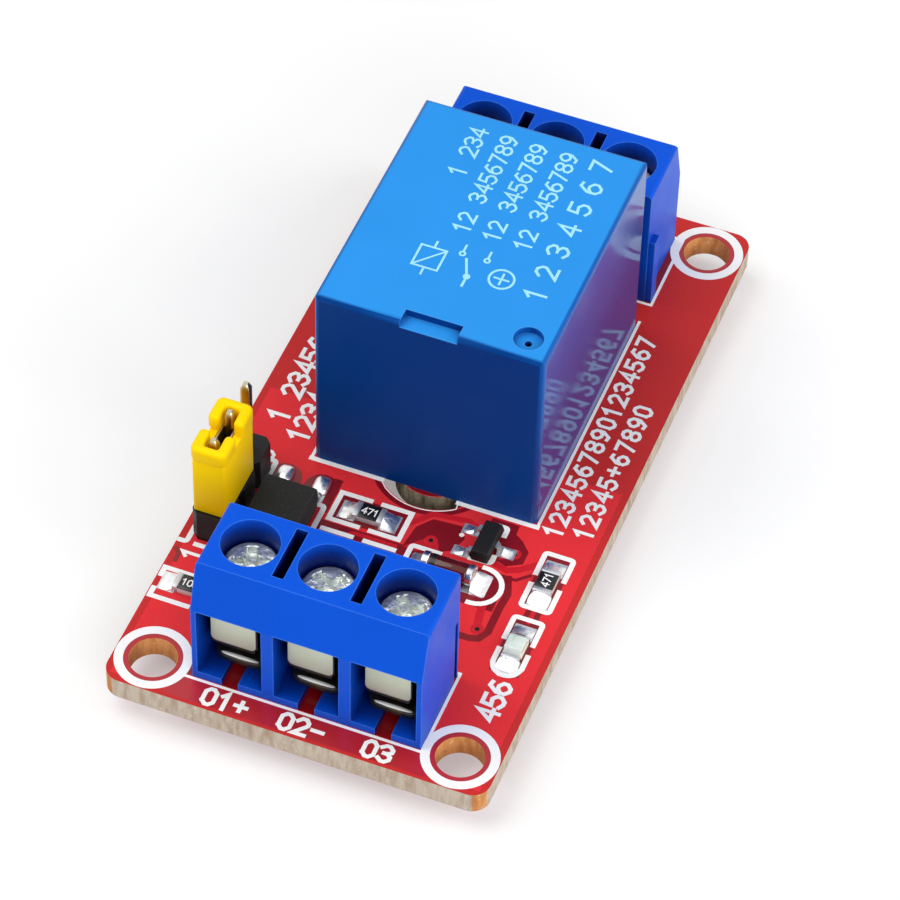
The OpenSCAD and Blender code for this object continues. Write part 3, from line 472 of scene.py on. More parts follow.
# The jumper's emission is a painted glow, and deep lays painted shade in its corners.
jumper_yellow = moulded_plastic("jumper yellow", (254, 212, 2), (255, 236, 60), rough=0.42, swing=0.04,
                                grain_mm=0.006, reach=0.00018, highlight_strength=1.2,
                                deep=((232, 160, 0), 0.0012, 0.8), Specular_IOR_Level=0.2,
                                Specular_Tint=shade(255, 236, 150),
                                Emission_Color=shade(255, 216, 0), Emission_Strength=0.1)
clip_tin = plated_metal("clip tin", (206, 200, 180), (140, 120, 84), share=0.5)
chip_grey = moulded_plastic("moulded chip grey", (36, 37, 36), (70, 72, 70), rough=0.6, grain_mm=0.012,
                            specks=((78, 80, 78), 3600.0, 0.5), Specular_IOR_Level=0.2, **CHIP_GRAIN)
chip_black = moulded_plastic("moulded chip black", (18, 18, 19), (48, 48, 50), rough=0.55, grain_mm=0.01,
                             Specular_IOR_Level=0.25, **CHIP_GRAIN)
glaze_black = moulded_plastic("resistor glaze", (18, 18, 19), (46, 46, 48), rough=0.28, swing=0.1)
ceramic = moulded_plastic("resistor ceramic", (206, 204, 198), (232, 230, 226), rough=0.5)
light_base = moulded_plastic("light base", (232, 230, 214), (244, 242, 232), rough=0.45)
light_lens = clear_lens()
light_chip = moulded_plastic("light chip", (98, 186, 112), (150, 210, 150), rough=0.3)
diode_glass = amber_glass()
diode_metal = plated_metal("diode cap", SILVER, DULL_TIN, share=0.5, streak=2200.0, rough=0.15)
gold_pin_finish = gold_pin()


# ---------- making pieces ----------

def new_object(name, data):
    """Object in the scene."""
    thing = bpy.data.objects.new(name, data)
    bpy.context.scene.collection.objects.link(thing)
    return thing


def around(steps, turn=0.0):
    """Cosine and sine of even steps round a circle."""
    angles = [math.tau * i / steps + turn for i in range(steps)]
    return [(math.cos(a), math.sin(a)) for a in angles]


class Piece:
    """Mesh in the making, in mm in the part's own frame."""

    def __init__(self, name, *finishes):
        self.name = name
        self.finishes = finishes
        self.mesh = bmesh.new()
        self.laid = 0

    def faces_from(self, count):
        """Faces past the first ones."""
        self.mesh.faces.ensure_lookup_table()
        return list(self.mesh.faces)[count:]

    def corners(self, points, z):
        return [self.mesh.verts.new((x, y, z)) for x, y in points]

    def face(self, corners, finish=0):
        made = self.mesh.faces.new(corners)
        made.material_index = finish
        return made

    def band(self, low, high, finish=0, closed=True):
        """Faces between two rows of corners."""
        pairs = [(i, (i + 1) % len(low)) for i in range(len(low) - (not closed))]
        return [self.face((low[i], low[j], high[j], high[i]), finish) for i, j in pairs]

    def plate(self, outline, z, finish=0):
        """Flat face inside an outline of (x, y) points."""
        self.face(self.corners(outline, z), finish)

    def patch(self, x0, y0, x1, y1, z):
        self.plate([(x0, y0), (x1, y0), (x1, y1), (x0, y1)], z)

    def ring(self, x, y, inner, outer, z, finish=0, steps=48):
        circles = [[(x + r * c, y + r * s) for c, s in around(steps)] for r in (inner, outer)]
        if inner <= 0:
            self.plate(circles[1], z, finish)
            return
        near, far = (self.corners(circle, z) for circle in circles)
        for i in range(steps):
            j = (i + 1) % steps
            self.face((near[i], far[i], far[j], near[j]), finish)

    def ribbon(self, path, width, z, closed=False, finish=0):
        """Flat ribbon of even width along a path, with mitred corners.

        It climbs a hair as it goes, so that it may cross itself and its neighbours.
        """
        layers, layer, climb, thinnest_mitre = 6, 0.0005, 0.0002, 0.35
        points = [Vector(p) for p in path]
        count = len(points)
        sides = [[], []]
        self.laid = (self.laid + 1) % layers
        for i, here in enumerate(points):
            level = layer * self.laid + (0 if closed else climb * i)
            last = points[i - 1] if i or closed else None
            after = points[(i + 1) % count] if i < count - 1 or closed else None
            first = (here - last).normalized() if last else (after - here).normalized()
            second = (after - here).normalized() if after else first
            square = Vector((-first.y, first.x))
            across = Vector((-(first.y + second.y), first.x + second.x))
            across = across.normalized() if across.length > 1e-6 else square
            half = width / 2 / max(thinnest_mitre, across.dot(square))
            ends = 0 if last and after else width / 2
            shift = (after - here).normalized() * -ends if not last else first * (ends if not after else 0)
            for side, sign in zip(sides, (1, -1)):
                side.append(self.mesh.verts.new((*(here + shift + across * half * sign), z + level)))
        self.band(sides[1], sides[0], finish, closed)

    def ribbons(self, width, z, *paths):
        for path in paths:
            self.ribbon(path, width, z)

    def soften(self, edges, radius, steps, **more):
        bmesh.ops.bevel(self.mesh, geom=list(edges), offset=radius, segments=steps, profile=0.5,
                        affect="EDGES", **more)

    def block(self, low, high, radius, finish=0, steps=2):
        """Box with rounded edges."""
        before = len(self.mesh.faces)
        made = bmesh.ops.create_cube(self.mesh, size=1.0)["verts"]
        for vert in made:
            vert.co = Vector([(low[k] + high[k]) / 2 + vert.co[k] * (high[k] - low[k]) for k in range(3)])
        self.soften({edge for vert in made for edge in vert.link_edges}, radius, steps)
        for face in self.faces_from(before):
            face.material_index = finish

    def skin(self, rows, finish=0, capped=True):
        """Surface through rows of points, each row a closed loop of the same count."""
        rows = [[self.mesh.verts.new(point) for point in row] for row in rows]
        for low, high in zip(rows, rows[1:] + ([] if capped else rows[:1])):
            self.band(low, high, finish)
        if capped:
            self.face(rows[0][::-1], finish)
            self.face(rows[-1], finish)

    def lathe(self, x, y, profile, finish=0, steps=32, turn=Matrix.Identity(4)):
        """Turned shape from (radius, height) steps, upright at (x, y) or turned by a matrix."""
        self.skin([[turn @ Vector((radius * c, radius * s, height)) + Vector((x, y, 0))
                    for c, s in around(steps)] for radius, height in profile], finish)

    def prism(self, outline, low, high, radius, steps=2, place=Matrix.Identity(4)):
        """Outline of (x, y) points raised from low to high, with rounded edges."""
        before = len(self.mesh.faces)
        foot, head = self.corners(outline, low), self.corners(outline, high)
        sides = [self.face(foot[::-1]), self.face(head), *self.band(foot, head)]
        self.mesh.normal_update()
        self.soften({edge for face in sides for edge in face.edges if edge.calc_face_angle(0) > 0.5},
                    radius, steps, clamp_overlap=False)
        for vert in {vert for face in self.faces_from(before) for vert in face.verts}:
            vert.co = place @ vert.co

    def heap(self, x, y, reach_x, reach_y, height, z):
        """Low dome on a rounded-square foot, as a drop of solder sets."""
        rows, square, crown = 6, 3.2, 0.7
        loops = []
        for k in range(rows):
            lean, lift = math.cos(math.pi / 2 * k / rows), math.sin(math.pi / 2 * k / rows) ** crown
            loops.append([(x + math.copysign(abs(c) ** (2 / square), c) * reach_x * lean,
                           y + math.copysign(abs(s) ** (2 / square), s) * reach_y * lean, z + height * lift)
                          for c, s in around(24)])
        self.skin(loops)

    def fillet(self, x, y, heading, length, width, height, z):
        """Solder that climbs a part's end at (x, y) and runs out along a heading in degrees."""
        along = Vector((math.cos(math.radians(heading)), math.sin(math.radians(heading)), 0))
        across = Vector((-along.y, along.x, 0))
        start = Vector((x, y, z))
        last = 6
        grid = []
        for i in range(last + 1):
            run = i / last
            spread = width / 2 * (1 + 0.12 * run * (1 - run) * 4)
            line = []
            for j in range(last + 1):
                side = 2 * j / last - 1
                rise = (1 - run) ** 1.7 * (1 - 0.55 * abs(side) ** 3)
                rise += 0.10 * (1 - run ** 6) * (1 - side ** 4)
                line.append(self.mesh.verts.new(start + along * length * run + across * side * spread
                                                + Vector((0, 0, height * rise))))
            grid.append(line)
        for near, far in zip(grid, grid[1:]):
            for j in range(last):
                self.face((near[j], far[j], far[j + 1], near[j + 1]))
        for j in (0, last):
            foot = [self.mesh.verts.new((row[j].co.x, row[j].co.y, z)) for row in grid]
            for i in range(last):
                corners = (grid[i][j], foot[i], foot[i + 1], grid[i + 1][j])
                self.face(corners if j else corners[::-1])

    def put(self, body="board", slot=None, replaces=(), angle=35):
        """Turns the work into an object that rides on a body."""
        bmesh.ops.scale(self.mesh, vec=(MM, MM, MM), verts=self.mesh.verts)
        data = bpy.data.meshes.new(self.name)
        self.mesh.to_mesh(data)
        self.mesh.free()
        for finish in self.finishes:
            data.materials.append(finish.material)
        data.shade_smooth()
        data.set_sharp_from_angle(angle=math.radians(angle))
        thing = new_object(self.name, data)
        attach(thing, body)
        if replaces:
            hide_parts(*replaces)
        return thing


def arc(x, y, radius, start, end, steps=16):
    """Points on an arc between two angles in degrees."""
    turns = [math.radians(start + (end - start) * i / steps) for i in range(steps + 1)]
    return [(x + radius * math.cos(a), y + radius * math.sin(a)) for a in turns]


def softened(path):
    """Path with each sharp inner corner turned into a short curve."""
    reach, straight_enough = 0.22, 0.5
    points = [Vector(p) for p in path]
    eased = [points[0]]
    for last, here, after in zip(points, points[1:], points[2:]):
        into, out = last - here, after - here
        if into.angle(-out) < straight_enough:
            eased.append(here)
            continue
        start = here + into.normalized() * min(reach, into.length / 2)
        end = here + out.normalized() * min(reach, out.length / 2)
        eased += [start.lerp(here, t).lerp(here.lerp(end, t), t) for t in (0, 0.25, 0.5, 0.75, 1)]
    return eased + [points[-1]]


def points_of(text):
    """List of (x, y) points from a line of numbers."""
    values = [float(value) for value in text.split()]
    return list(zip(values[::2], values[1::2]))


# Strokes of each figure on a square one unit high; a bar parts one stroke from the next.
STROKES = {figure: [points_of(stroke) for stroke in text.split("|") if stroke] for figure, text in {
    "0": "0 .2 0 .8 .2 1 .4 1 .6 .8 .6 .2 .4 0 .2 0 0 .2",
    "1": ".08 .78 .32 1 .32 0",
    "2": "0 .8 .2 1 .42 1 .6 .8 .6 .62 0 0 .62 0",
    "3": "0 .85 .2 1 .4 1 .6 .82 .6 .66 .4 .52 .22 .52|.4 .52 .6 .36 .6 .18 .4 0 .2 0 0 .15",
    "4": ".46 0 .46 1 0 .3 .64 .3",
    "5": ".58 1 .04 1 0 .54 .4 .6 .6 .42 .6 .2 .4 0 .2 0 0 .13",
    "6": ".52 .95 .3 1 0 .6 0 .2 .2 0 .4 0 .6 .2 .6 .4 .4 .58 .2 .58 0 .4",
    "7": "0 1 .6 1 .22 0",
    "8": ".22 .52 .02 .66 .02 .86 .2 1 .4 1 .58 .86 .58 .66 .38 .52"
         "|.3 .52 .16 .5 0 .36 0 .15 .2 0 .4 0 .6 .15 .6 .36 .44 .5 .3 .52",
    "9": ".08 .05 .3 0 .6 .4 .6 .8 .4 1 .2 1 0 .8 0 .6 .2 .42 .4 .42 .6 .6",
    "+": ".02 .5 .62 .5|.32 .2 .32 .8",
    "-": ".05 .5 .6 .5",
    " ": "",
}.items()}


def figures(piece, text, x, y, height, heading, width, z, advance=0.85, finish=0):
    """Row of plain figures that starts at (x, y) and reads along a heading in degrees."""
    along = Vector((math.cos(math.radians(heading)), math.sin(math.radians(heading))))
    up = Vector((-along.y, along.x))
    start = Vector((x, y))
    for place, figure in enumerate(text):
        for stroke in STROKES[figure]:
            path = [start + along * height * (place * advance + u) + up * height * v for u, v in stroke]
            piece.ribbon(path, width, z, finish=finish)


def round_loop(x, y, width, length, radius, z, steps=4):
    """Points round a rectangle with round corners."""
    points = []
    for turn, (sx, sy) in enumerate(((1, 1), (-1, 1), (-1, -1), (1, -1))):
        corner_x, corner_y = x + sx * (width / 2 - radius), y + sy * (length / 2 - radius)
        quarter = arc(corner_x, corner_y, radius, 90 * turn, 90 * turn + 90, steps)
        points += [(*point, z) for point in quarter]
    return points


def give(finish, *names):
    """Puts a finish on frame nodes."""
    for name in names:
        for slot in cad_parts[name].material_slots:
            slot.material = finish.material


def round_edges(name, width_mm):
    """Rounds a frame node's edges with modifiers; its mesh stays as it came."""
    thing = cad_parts[name]
    weld = thing.modifiers.new("weld", "WELD")
    weld.merge_threshold = 2e-6
    flat = thing.modifiers.new("flat faces", "DECIMATE")
    flat.decimate_type = "DISSOLVE"
    flat.angle_limit = math.radians(0.5)
    bevel = thing.modifiers.new("round edges", "BEVEL")
    bevel.width = width_mm * MM
    bevel.segments = 2
    bevel.limit_method = "ANGLE"
    bevel.angle_limit = math.radians(32)
    bevel.harden_normals = True
    bevel.use_clamp_overlap = True


# ---------- board ----------

def board_skin(name, level_mm, lift_mm, finish):
    """Thin sheet of mask over one face of the board, with the board's own holes."""
    sheet = bmesh.new()
    sheet.from_mesh(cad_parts["circuit_board"].data)
    extra = [face for face in sheet.faces
             if abs(face.calc_center_median().z - level_mm * MM) > 1e-5 or abs(face.normal.z) < 0.9]
    bmesh.ops.delete(sheet, geom=extra, context="FACES")
    bmesh.ops.remove_doubles(sheet, verts=sheet.verts, dist=1e-6)
    for vert in sheet.verts:
        vert.co.z += lift_mm * MM
    data = bpy.data.meshes.new(name)
    sheet.to_mesh(data)
    sheet.free()
    data.materials.append(finish.material)
    thing = new_object(name, data)
    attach(thing, "board")


def bare_gaps():
    """Where the pour is cut away round pads, tracks and the isolation slot, with a dark plate of painted
    shadow on the slot's island.
    """
    piece = Piece("bare_gaps", bare_gap, bare_rim)
    under_parts = ((base_r[0] - 2.35, -8.3, base_r[0] + 2.3, -6.1), (9.35, -10.3, 11.3, -5.8),
                   (9.35, -15.9, 11.3, -11.4), (9.85, -11.3, 10.85, -10.4),
                   (-4.9, -10.2, 0.95, -8.6), (-5.35, -8.0, -4.75, -5.1))
    for step, sides in enumerate(under_parts):
        piece.patch(*sides, GAP_Z - 0.0003 * step)
    piece.plate(points_of("0.72 -8.75 1.5 -8.85 3.0 -8.3 3.8 -7.9 4.2 -6.7 3.7 -5.75 1.75 -5.9 0.95 -6.9"),
                GAP_Z - 0.0021)
    piece.plate(points_of("5.2 -4.35 5.2 -8.1 6.8 -7.6 7.4 -7.8 8.35 -7.25 8.35 -6.2 7.7 -5.5 7.1 -5.1"
                          " 7.05 -4.35"), GAP_Z - 0.0024)
    piece.ribbon(arc(slot_x, slot_y, 4.15, 214, 326, 28), 0.34, GAP_Z)
    for width, text in ((0.5, "7.9 -8.7 8.32 -9.9 8.24 -11.2 8.26 -13.2 7.9 -13.9 7.3 -14.07 5.4 -14.07"),
                        (0.24, "7.5 -8.72 8.4 -8.62 9.1 -7.95"),
                        (0.3, "-12.1 -15.2 -12.1 -14.6 -12.4 -14.3")):
        piece.ribbon(points_of(text), width, GAP_Z)
    piece.patch(0.9, -11.6, 7.9, -8.5, GAP_Z + 0.0004)
    for low, high in ((block_low, block_high), (out_low, out_high)):
        piece.patch(low.x, low.y, high.x, high.y, GAP_Z + 0.0008)
    strip_back = block_low.y - 0.1
    piece.plate([(-8.7, -25.15), (8.8, -25.15), (7.9, strip_back), (-7.7, strip_back)], GAP_Z, 1)
    for x, y in SCREW_HOLES:
        piece.ring(x, y, 1.565, 1.9, GAP_Z, 1, 64)
    # Painted shadow: dark plate on the island inside the slot, under the relay's front.
    piece.plate(arc(slot_x, slot_y, 2.7, 205, 335, 24), GAP_Z)
    for side, drop in ((-1, 0.0027), (1, 0.003)):
        piece.ring(opto_at[0] + side * OPTO_LEAD_X, opto_at[1] + 3.9, 0.55, 1.15, GAP_Z - drop)
    piece.put(slot="board_red")


def tracks():
    """Copper tracks and via rims that stand up under the mask."""
    piece = Piece("mask_tracks", raised_track)
    for width, text in ((0.42, "0.55 -6.7 1.6 -5.5 3.9 -5.2 4.4 -5.4"),
                        (0.46, "6.2 -7.75 7.6 -8.1 8.3 -7.75 9.5 -6.7"), (0.3, "10.35 -10.2 10.35 -11.5")):
        piece.ribbon(points_of(text), width, TRACK_Z)
    piece.plate(points_of("0.75 -8.72 1.7 -7.75 2.25 -7.2 2.85 -7.75 3.0 -8.25 1.6 -8.8"), TRACK_Z)
    piece.ribbon([VIAS[2], (7.3, -12.2), (7.2, -11.4)], 0.5, TRACK_Z)
    piece.ribbon([VIAS[1], (6.9, -7.2)], 0.4, TRACK_Z)
    piece.ribbon([(-3.6, -9.6), (-2.5, -8.9), (0.3, -8.9)], 0.3, TRACK_Z)
    for x, y in VIAS:
        piece.ring(x, y, 0.17, 0.42, TRACK_Z + 0.004)
    piece.put(slot="board_red")
    # Black discs stand for the depth of the via holes: painted shade.
    holes = Piece("via_holes", glaze_black)
    for x, y in VIAS:
        holes.ring(x, y, 0, 0.16, TRACK_Z + 0.003, steps=20)
    holes.put(slot="board_red")


def print_outlines():
    """White outlines round the parts, the blocks and the four screw holes."""
    piece = Piece("print_outlines", white_print)
    line, thin_line, margin = 0.35, 0.2, 0.16
    x0, x1 = base_r[0] - 2.4, base_r[0] + 2.4
    piece.ribbons(line, PRINT_Z, [(-2.5, -6.02), (x0, -6.02), (x0, -8.35), (-2.5, -8.35)],
                  [(-1.6, -6.02), (x1, -6.02), (x1, -8.35), (-1.6, -8.35)],
                  [(-4.5, -9.25), (-2.55, -9.25)], [(-1.6, -9.25), (0.35, -9.25)])
    chip_bow = [(6.25, -8.42), *arc(6.35, -9.92, 1.5, 88, -88, 14), (6.25, -11.42)]
    for path in ("9.37 -7.6 9.37 -5.8 11.27 -5.8 11.27 -7.6",
                 "9.37 -8.55 9.37 -10.38 11.27 -10.38 11.27 -8.55",
                 "9.37 -13.15 9.37 -11.35 11.27 -11.35 11.27 -13.15",
                 "9.37 -14.15 9.37 -15.2 9.6 -15.75 10.1 -16.02 10.6 -16.02 11.05 -15.75 11.27 -15.2"
                 " 11.27 -14.15",
                 "3.15 -8.42 1.28 -8.42 1.28 -11.42 3.15 -11.42", chip_bow,
                 "-5.5 -7.56 -5.06 -7.56 -5.06 -12.6", "-9.2 -6.6 -9.2 -12.6", "-9.2 -6.6 -8.95 -6.6",
                 "-7.8 -6.6 -6.5 -6.6",
                 "-12.5 -13.55 -12.05 -13.55 -12.05 -5.2 -9.38 -5.2 -9.38 -13.55 -11.4 -13.55",
                 "5.95 -4.85 6.45 -4.85 6.45 -5.5", "5.1 -8.02 6.45 -7.95 6.45 -7.4",
                 "-12.45 -15.98 -9.9 -15.98", "-12.45 -15.98 -12.45 -16.6",
                 "-12.45 -18.4 -9.9 -18.4", "-12.45 -18.4 -12.45 -17.8"):
        piece.ribbon(softened(points_of(path) if isinstance(path, str) else path), line, PRINT_Z)
    foot = relay_low.y - margin
    bow_start, bow_end = -2.55, 2.75
    piece.ribbons(line, PRINT_Z, [(relay_low.x - 0.1, foot), (bow_start, foot)],
                  [(bow_end, foot), (relay_high.x + 0.1, foot)])
    piece.ribbon([(bow_start, relay_low.y - 0.2), *arc(slot_x, slot_y, 3.95, 232, 308, 20),
                  (bow_end, relay_low.y - 0.2)], 0.08, PRINT_Z)
    for x in (relay_low.x - 0.13, relay_high.x + 0.13):
        piece.ribbon([(x, relay_low.y - 0.1), (x, relay_high.y + 0.1)], thin_line, PRINT_Z)
    for low, high, front in ((block_low, block_high, -1), (out_low, out_high, 1)):
        y_front, y_back = sorted((low.y - margin, high.y + margin), reverse=front > 0)
        left, right = low.x - 0.12, high.x + 0.12
        piece.ribbon([(left, y_front), (right, y_front), (right, y_back), (left, y_back)], thin_line,
                     PRINT_Z, closed=True)
    for x, y in SCREW_HOLES:
        piece.ring(x, y, 1.87, 2.46, PRINT_Z, steps=64)
    for x, y in ((3.9, -6.45), (6.15, -6.15)):
        piece.ring(x, y, 0, 0.17, PRINT_Z + 0.002, steps=16)
    piece.put(slot="board_red")


def print_figures():
    """Plain figures and signs where a board of this kind carries its labels."""
    piece = Piece("print_figures", white_print)
    for i, text in enumerate(("01+", "02-", "03")):
        x = -6.1 + POLE_PITCH * i + (0.45 if len(text) == 2 else 0)
        figures(piece, text, x, -25.02, 1.2, 0, 0.28, PRINT_Z, advance=0.86)
    for i in range(3):
        figures(piece, str(i + 1), 5.0 - POLE_PITCH * i, 24.95, 1.1, 180, 0.22, PRINT_Z)
    for text, x, y, height, width, advance in (
            ("1 23456 789", -10.15, -1.8, 1.3, 0.27, 0.86), ("1234 567 890", -8.3, -2.95, 1.3, 0.27, 0.86),
            ("1", -10.7, -14.75, 1.25, 0.24, 0), ("0", -9.75, -5.2, 1.1, 0.22, 0),
            ("12345678901234567", 9.74, -4.3, 1.12, 0.24, 0.98),
            ("12345+67890", 11.6, -3.75, 1.12, 0.24, 1.0), ("456", 11.2, -19.6, 1.3, 0.28, 0.84)):
        figures(piece, text, x, y, height, 90, width, PRINT_Z, advance=advance)
    piece.put(slot="board_red")


board_skin("board_mask_top", BOARD_TOP, 0.012, mask_top)
board_skin("board_mask_under", 0.0, -0.012, mask_under)
give(laminate, "circuit_board")
bare_gaps()
tracks()
print_outlines()
print_figures()


# ---------- underside ----------

def underside():
    """Tinned pads and cones of solder round every pin, with the broad tracks between them."""
    joints = Piece("underside_joints", solder)
    pads = Piece("underside_pads", tinned)
    broad_cone = [(1.12, -0.02), (1.1, -0.06), (0.93, -0.2), (0.76, -0.45), (0.64, -0.8), (0.56, -1.12),
                  (0.49, -1.16)]
    slim_cone = [(0.92, -0.02), (0.9, -0.06), (0.76, -0.2), (0.6, -0.45), (0.48, -0.8), (0.42, -1.1),
                 (0.36, -1.14)]
    screw_at = [middle(f"{side}_screw_{i}") for side in ("input", "output") for i in (1, 2, 3)]
    header_at = [middle(f"header_pin_{i}") for i in (1, 2, 3)]
    common, coil_1, coil_2 = (middle(f"relay_{name}") for name in ("common_pin", "coil_pin_1", "coil_pin_2"))
    switch_y = relay_high.y - 2.4
    relay_at = [common, coil_1, coil_2, (coil_1[0], switch_y), (coil_2[0], switch_y)]
    for places, cone, steps, pad in ((screw_at + relay_at, broad_cone, 28, 1.25),
                                     (header_at, slim_cone, 24, 1.02)):
        for x, y in places:
            joints.lathe(x, y, cone, steps=steps)
            pads.ring(x, y, 0, pad, -0.02)
    joints.put(slot="solder", replaces=["pin_solder"])
    pads.put(slot="solder")
    track_z = -0.016
    tracks_under = Piece("underside_tracks", raised_track)
    for contact, terminal in ((common, screw_at[4]), (relay_at[3], screw_at[5]), (relay_at[4], screw_at[3])):
        tracks_under.ribbon([contact, (contact[0], (contact[1] + terminal[1]) / 2 + 2),
                             (terminal[0], terminal[1] - 1.5), terminal], 2.2, track_z)
    tracks_under.ribbon([coil_1, (coil_1[0], -8.0), screw_at[0]], 0.9, track_z)
    tracks_under.ribbon([coil_2, (coil_2[0], -6.0), (5.2, -8.0)], 0.6, track_z)
    tracks_under.put(slot="board_red")


underside()


# ---------- small parts ----------

def chip_resistor(name, heading, text):
    """Ceramic chip with a black glaze on top, wrapped tin ends and three plain figures."""
    low, high = span(name)
    piece = Piece(name + "_chip", ceramic, glaze_black, tinned, white_print)
    centre = Vector(middle(name))
    half = (high - low).xy / 2
    along = Vector((0, 1)) if heading else Vector((1, 0))
    across = along.yx
    length, width = half.dot(along), half.dot(across)

    def box(a0, a1, w, z0, z1, radius, finish):
        ends = [centre + along * a0 - across * w, centre + along * a1 + across * w]
        piece.block((min(e.x for e in ends), min(e.y for e in ends), z0),
                    (max(e.x for e in ends), max(e.y for e in ends), z1), radius, finish)

    box(-length + 0.1, length - 0.1, width - 0.04, low.z + 0.02, high.z - 0.06, 0.02, 0)
    box(-length + 0.38, length - 0.38, width - 0.03, high.z - 0.1, high.z - 0.012, 0.02, 1)
    for side in (-1, 1):
        ends = sorted((side * (length - 0.36), side * length))
        box(*ends, width, low.z, high.z, 0.045, 2)
    start = centre - along * 0.5 - Vector((-along.y, along.x)) * 0.24
    figures(piece, text, start.x, start.y, 0.48, heading, 0.085, high.z - 0.008, advance=0.8, finish=3)
    piece.put(slot="resistor_black", replaces=[name])


def power_light():
    """White foot with tinned ends, a clear sloped lens and the small lit chip inside it."""
    low, high = span("power_light_base")
    lens_low, lens_high = span("power_light_lens")
    x, y = light_at
    foot = Piece("power_light_foot", light_base, tinned)
    foot.block((low.x, low.y + 0.02, low.z), (high.x, high.y - 0.02, high.z - 0.02), 0.03, 0)
    for y0, y1 in ((low.y, low.y + 0.34), (high.y - 0.34, high.y)):
        foot.block((low.x, y0, low.z), (high.x, y1, high.z), 0.04, 1)
    foot.put(slot="light_base", replaces=["power_light_base"])
    lens = Piece("power_light_dome", light_lens)
    draft = 0.16
    lens.block((lens_low.x, lens_low.y, lens_low.z - 0.01), lens_high, 0.09, 0, 4)
    for vert in lens.mesh.verts:
        rise = (vert.co.z - lens_low.z) / (lens_high.z - lens_low.z)
        vert.co.y = y + (vert.co.y - y) * (1 - draft * rise)
    lens.put(slot="light_lens", replaces=["power_light_lens"])
    die = Piece("power_light_chip", light_chip, contact_silver)
    foot_z = high.z - 0.01
    die.block((x - 0.16, y - 0.3, foot_z), (x + 0.16, y + 0.02, high.z + 0.12), 0.02, 0)
    die.block((x - 0.3, y + 0.16, foot_z), (x + 0.3, y + 0.44, high.z + 0.03), 0.01, 1)
    die.put(slot="light_lens")


def diode():
    """Glass tube with a dark band between two domed metal caps."""
    low, high = span("diode_caps")
    x, y = middle("diode_caps")
    turn = Matrix.Translation((0, 0, (low.z + high.z) / 2)) @ Matrix.Rotation(math.pi / 2, 4, "Y")
    half, radius = (high.x - low.x) / 2, (high.y - low.y) / 2
    caps = Piece("diode_end_caps", diode_metal)
    for side in (-1, 1):
        caps.lathe(x, y, [(radius * share, side * (half - inset)) for share, inset in (
            (0.86, 0), (0.97, 0.04), (1, 0.12), (1, 0.40), (0.93, 0.45))], turn=turn)
    tube = Piece("diode_tube", diode_glass, glaze_black)
    end = half - 0.43
    waist, foot = radius * 0.93, radius * 0.86
    tube.lathe(x, y, [(foot, -end), (waist, -end + 0.1), (waist, end - 0.1), (foot, end)], turn=turn)
    tube.lathe(x, y, [(radius * 0.94, -end + 0.16), (radius * 0.94, -end + 0.5)], finish=1, turn=turn)
    for piece, slot, node in ((caps, "diode_metal", "diode_caps"), (tube, "diode_glass", "diode_glass")):
        bmesh.ops.recalc_face_normals(piece.mesh, faces=piece.mesh.faces)
        piece.put(slot=slot, replaces=[node])


def pads_and_solder():
    """Tinned pads with the solder that holds each flat part."""
    pads = Piece("tinned_pads", tinned)
    joints = Piece("pad_joints", solder)
    foot_z = BOARD_TOP + 0.02
    pad_out, fillet_out = 1.42, 0.97

    def pad(x, y, w, l):
        pads.patch(x - w / 2, y - l / 2, x + w / 2, y + l / 2, PAD_Z)

    for x, y in (base_r, input_r):
        for side, heading in ((-1, 180), (1, 0)):
            pad(x + side * pad_out, y, 1.15, 1.5)
            joints.fillet(x + side * fillet_out, y, heading, 0.92, 1.3, 0.5, foot_z)
    for (x, y), height in ((light_r, 0.45), (light_at, 0.36)):
        for side in (-1, 1):
            pad(x, y + side * pad_out, 1.4, 1.15)
            joints.fillet(x, y + side * fillet_out, side * 90, 0.92, 1.25, height, foot_z)
    x, y = diode_at
    for side in (-1, 1):
        pad(x + side * 1.9, y, 1.5, 1.9)
    for side, heading in ((1, 0), (-1, 180)):
        joints.fillet(x + side * 1.72, y, heading, 1.0, 1.7, 0.55, foot_z)
    x, y = opto_at
    for side in (-1, 1):
        for end in (1, -1):
            pad(x + side * OPTO_LEAD_X, y + end * 3.6, 1.0, 1.7)
            joints.heap(x + side * OPTO_LEAD_X, y + end * 3.95, 0.56, 0.82, 0.5, foot_z)
    x, y = chip_at
    for lead_x, lead_y, long, wide, heading in ((-1, y - 0.95, 0.8, 0.62, 180),
                                                (-1, y + 0.95, 0.8, 0.62, 180), (1, y, 0.9, 0.7, 0)):
        pad(x + lead_x * 1.35, lead_y, 1.2, long)
        joints.fillet(x + lead_x * 1.15, lead_y, heading, 0.7, wide, 0.24, foot_z)
    pads.put(slot="solder")
    joints.put(slot="solder", replaces=["pad_solder"])


chip_resistor("base_resistor", 0, "471")
chip_resistor("light_resistor", 90, "471")
chip_resistor("input_resistor", 0, "103")
power_light()
diode()
pads_and_solder()


# ---------- header pins and jumper ----------

def header_pin(i):
    """Square pin with drawn edges and a tapered tip at each end."""
    node = f"header_pin_{i}"
    low, high = span(node)
    side, taper = high.x - low.x, 0.42
    piece = Piece(node + "_drawn", gold_pin_finish)
    piece.skin([round_loop(*middle(node), size, size, 0.22 * size, z, 3) for size, z in (
        (0.34, low.z), (side, low.z + taper), (side, high.z - taper), (0.34, high.z - 0.03), (0.28, high.z))])
    piece.put(slot="pin_gold", replaces=[node], angle=30)


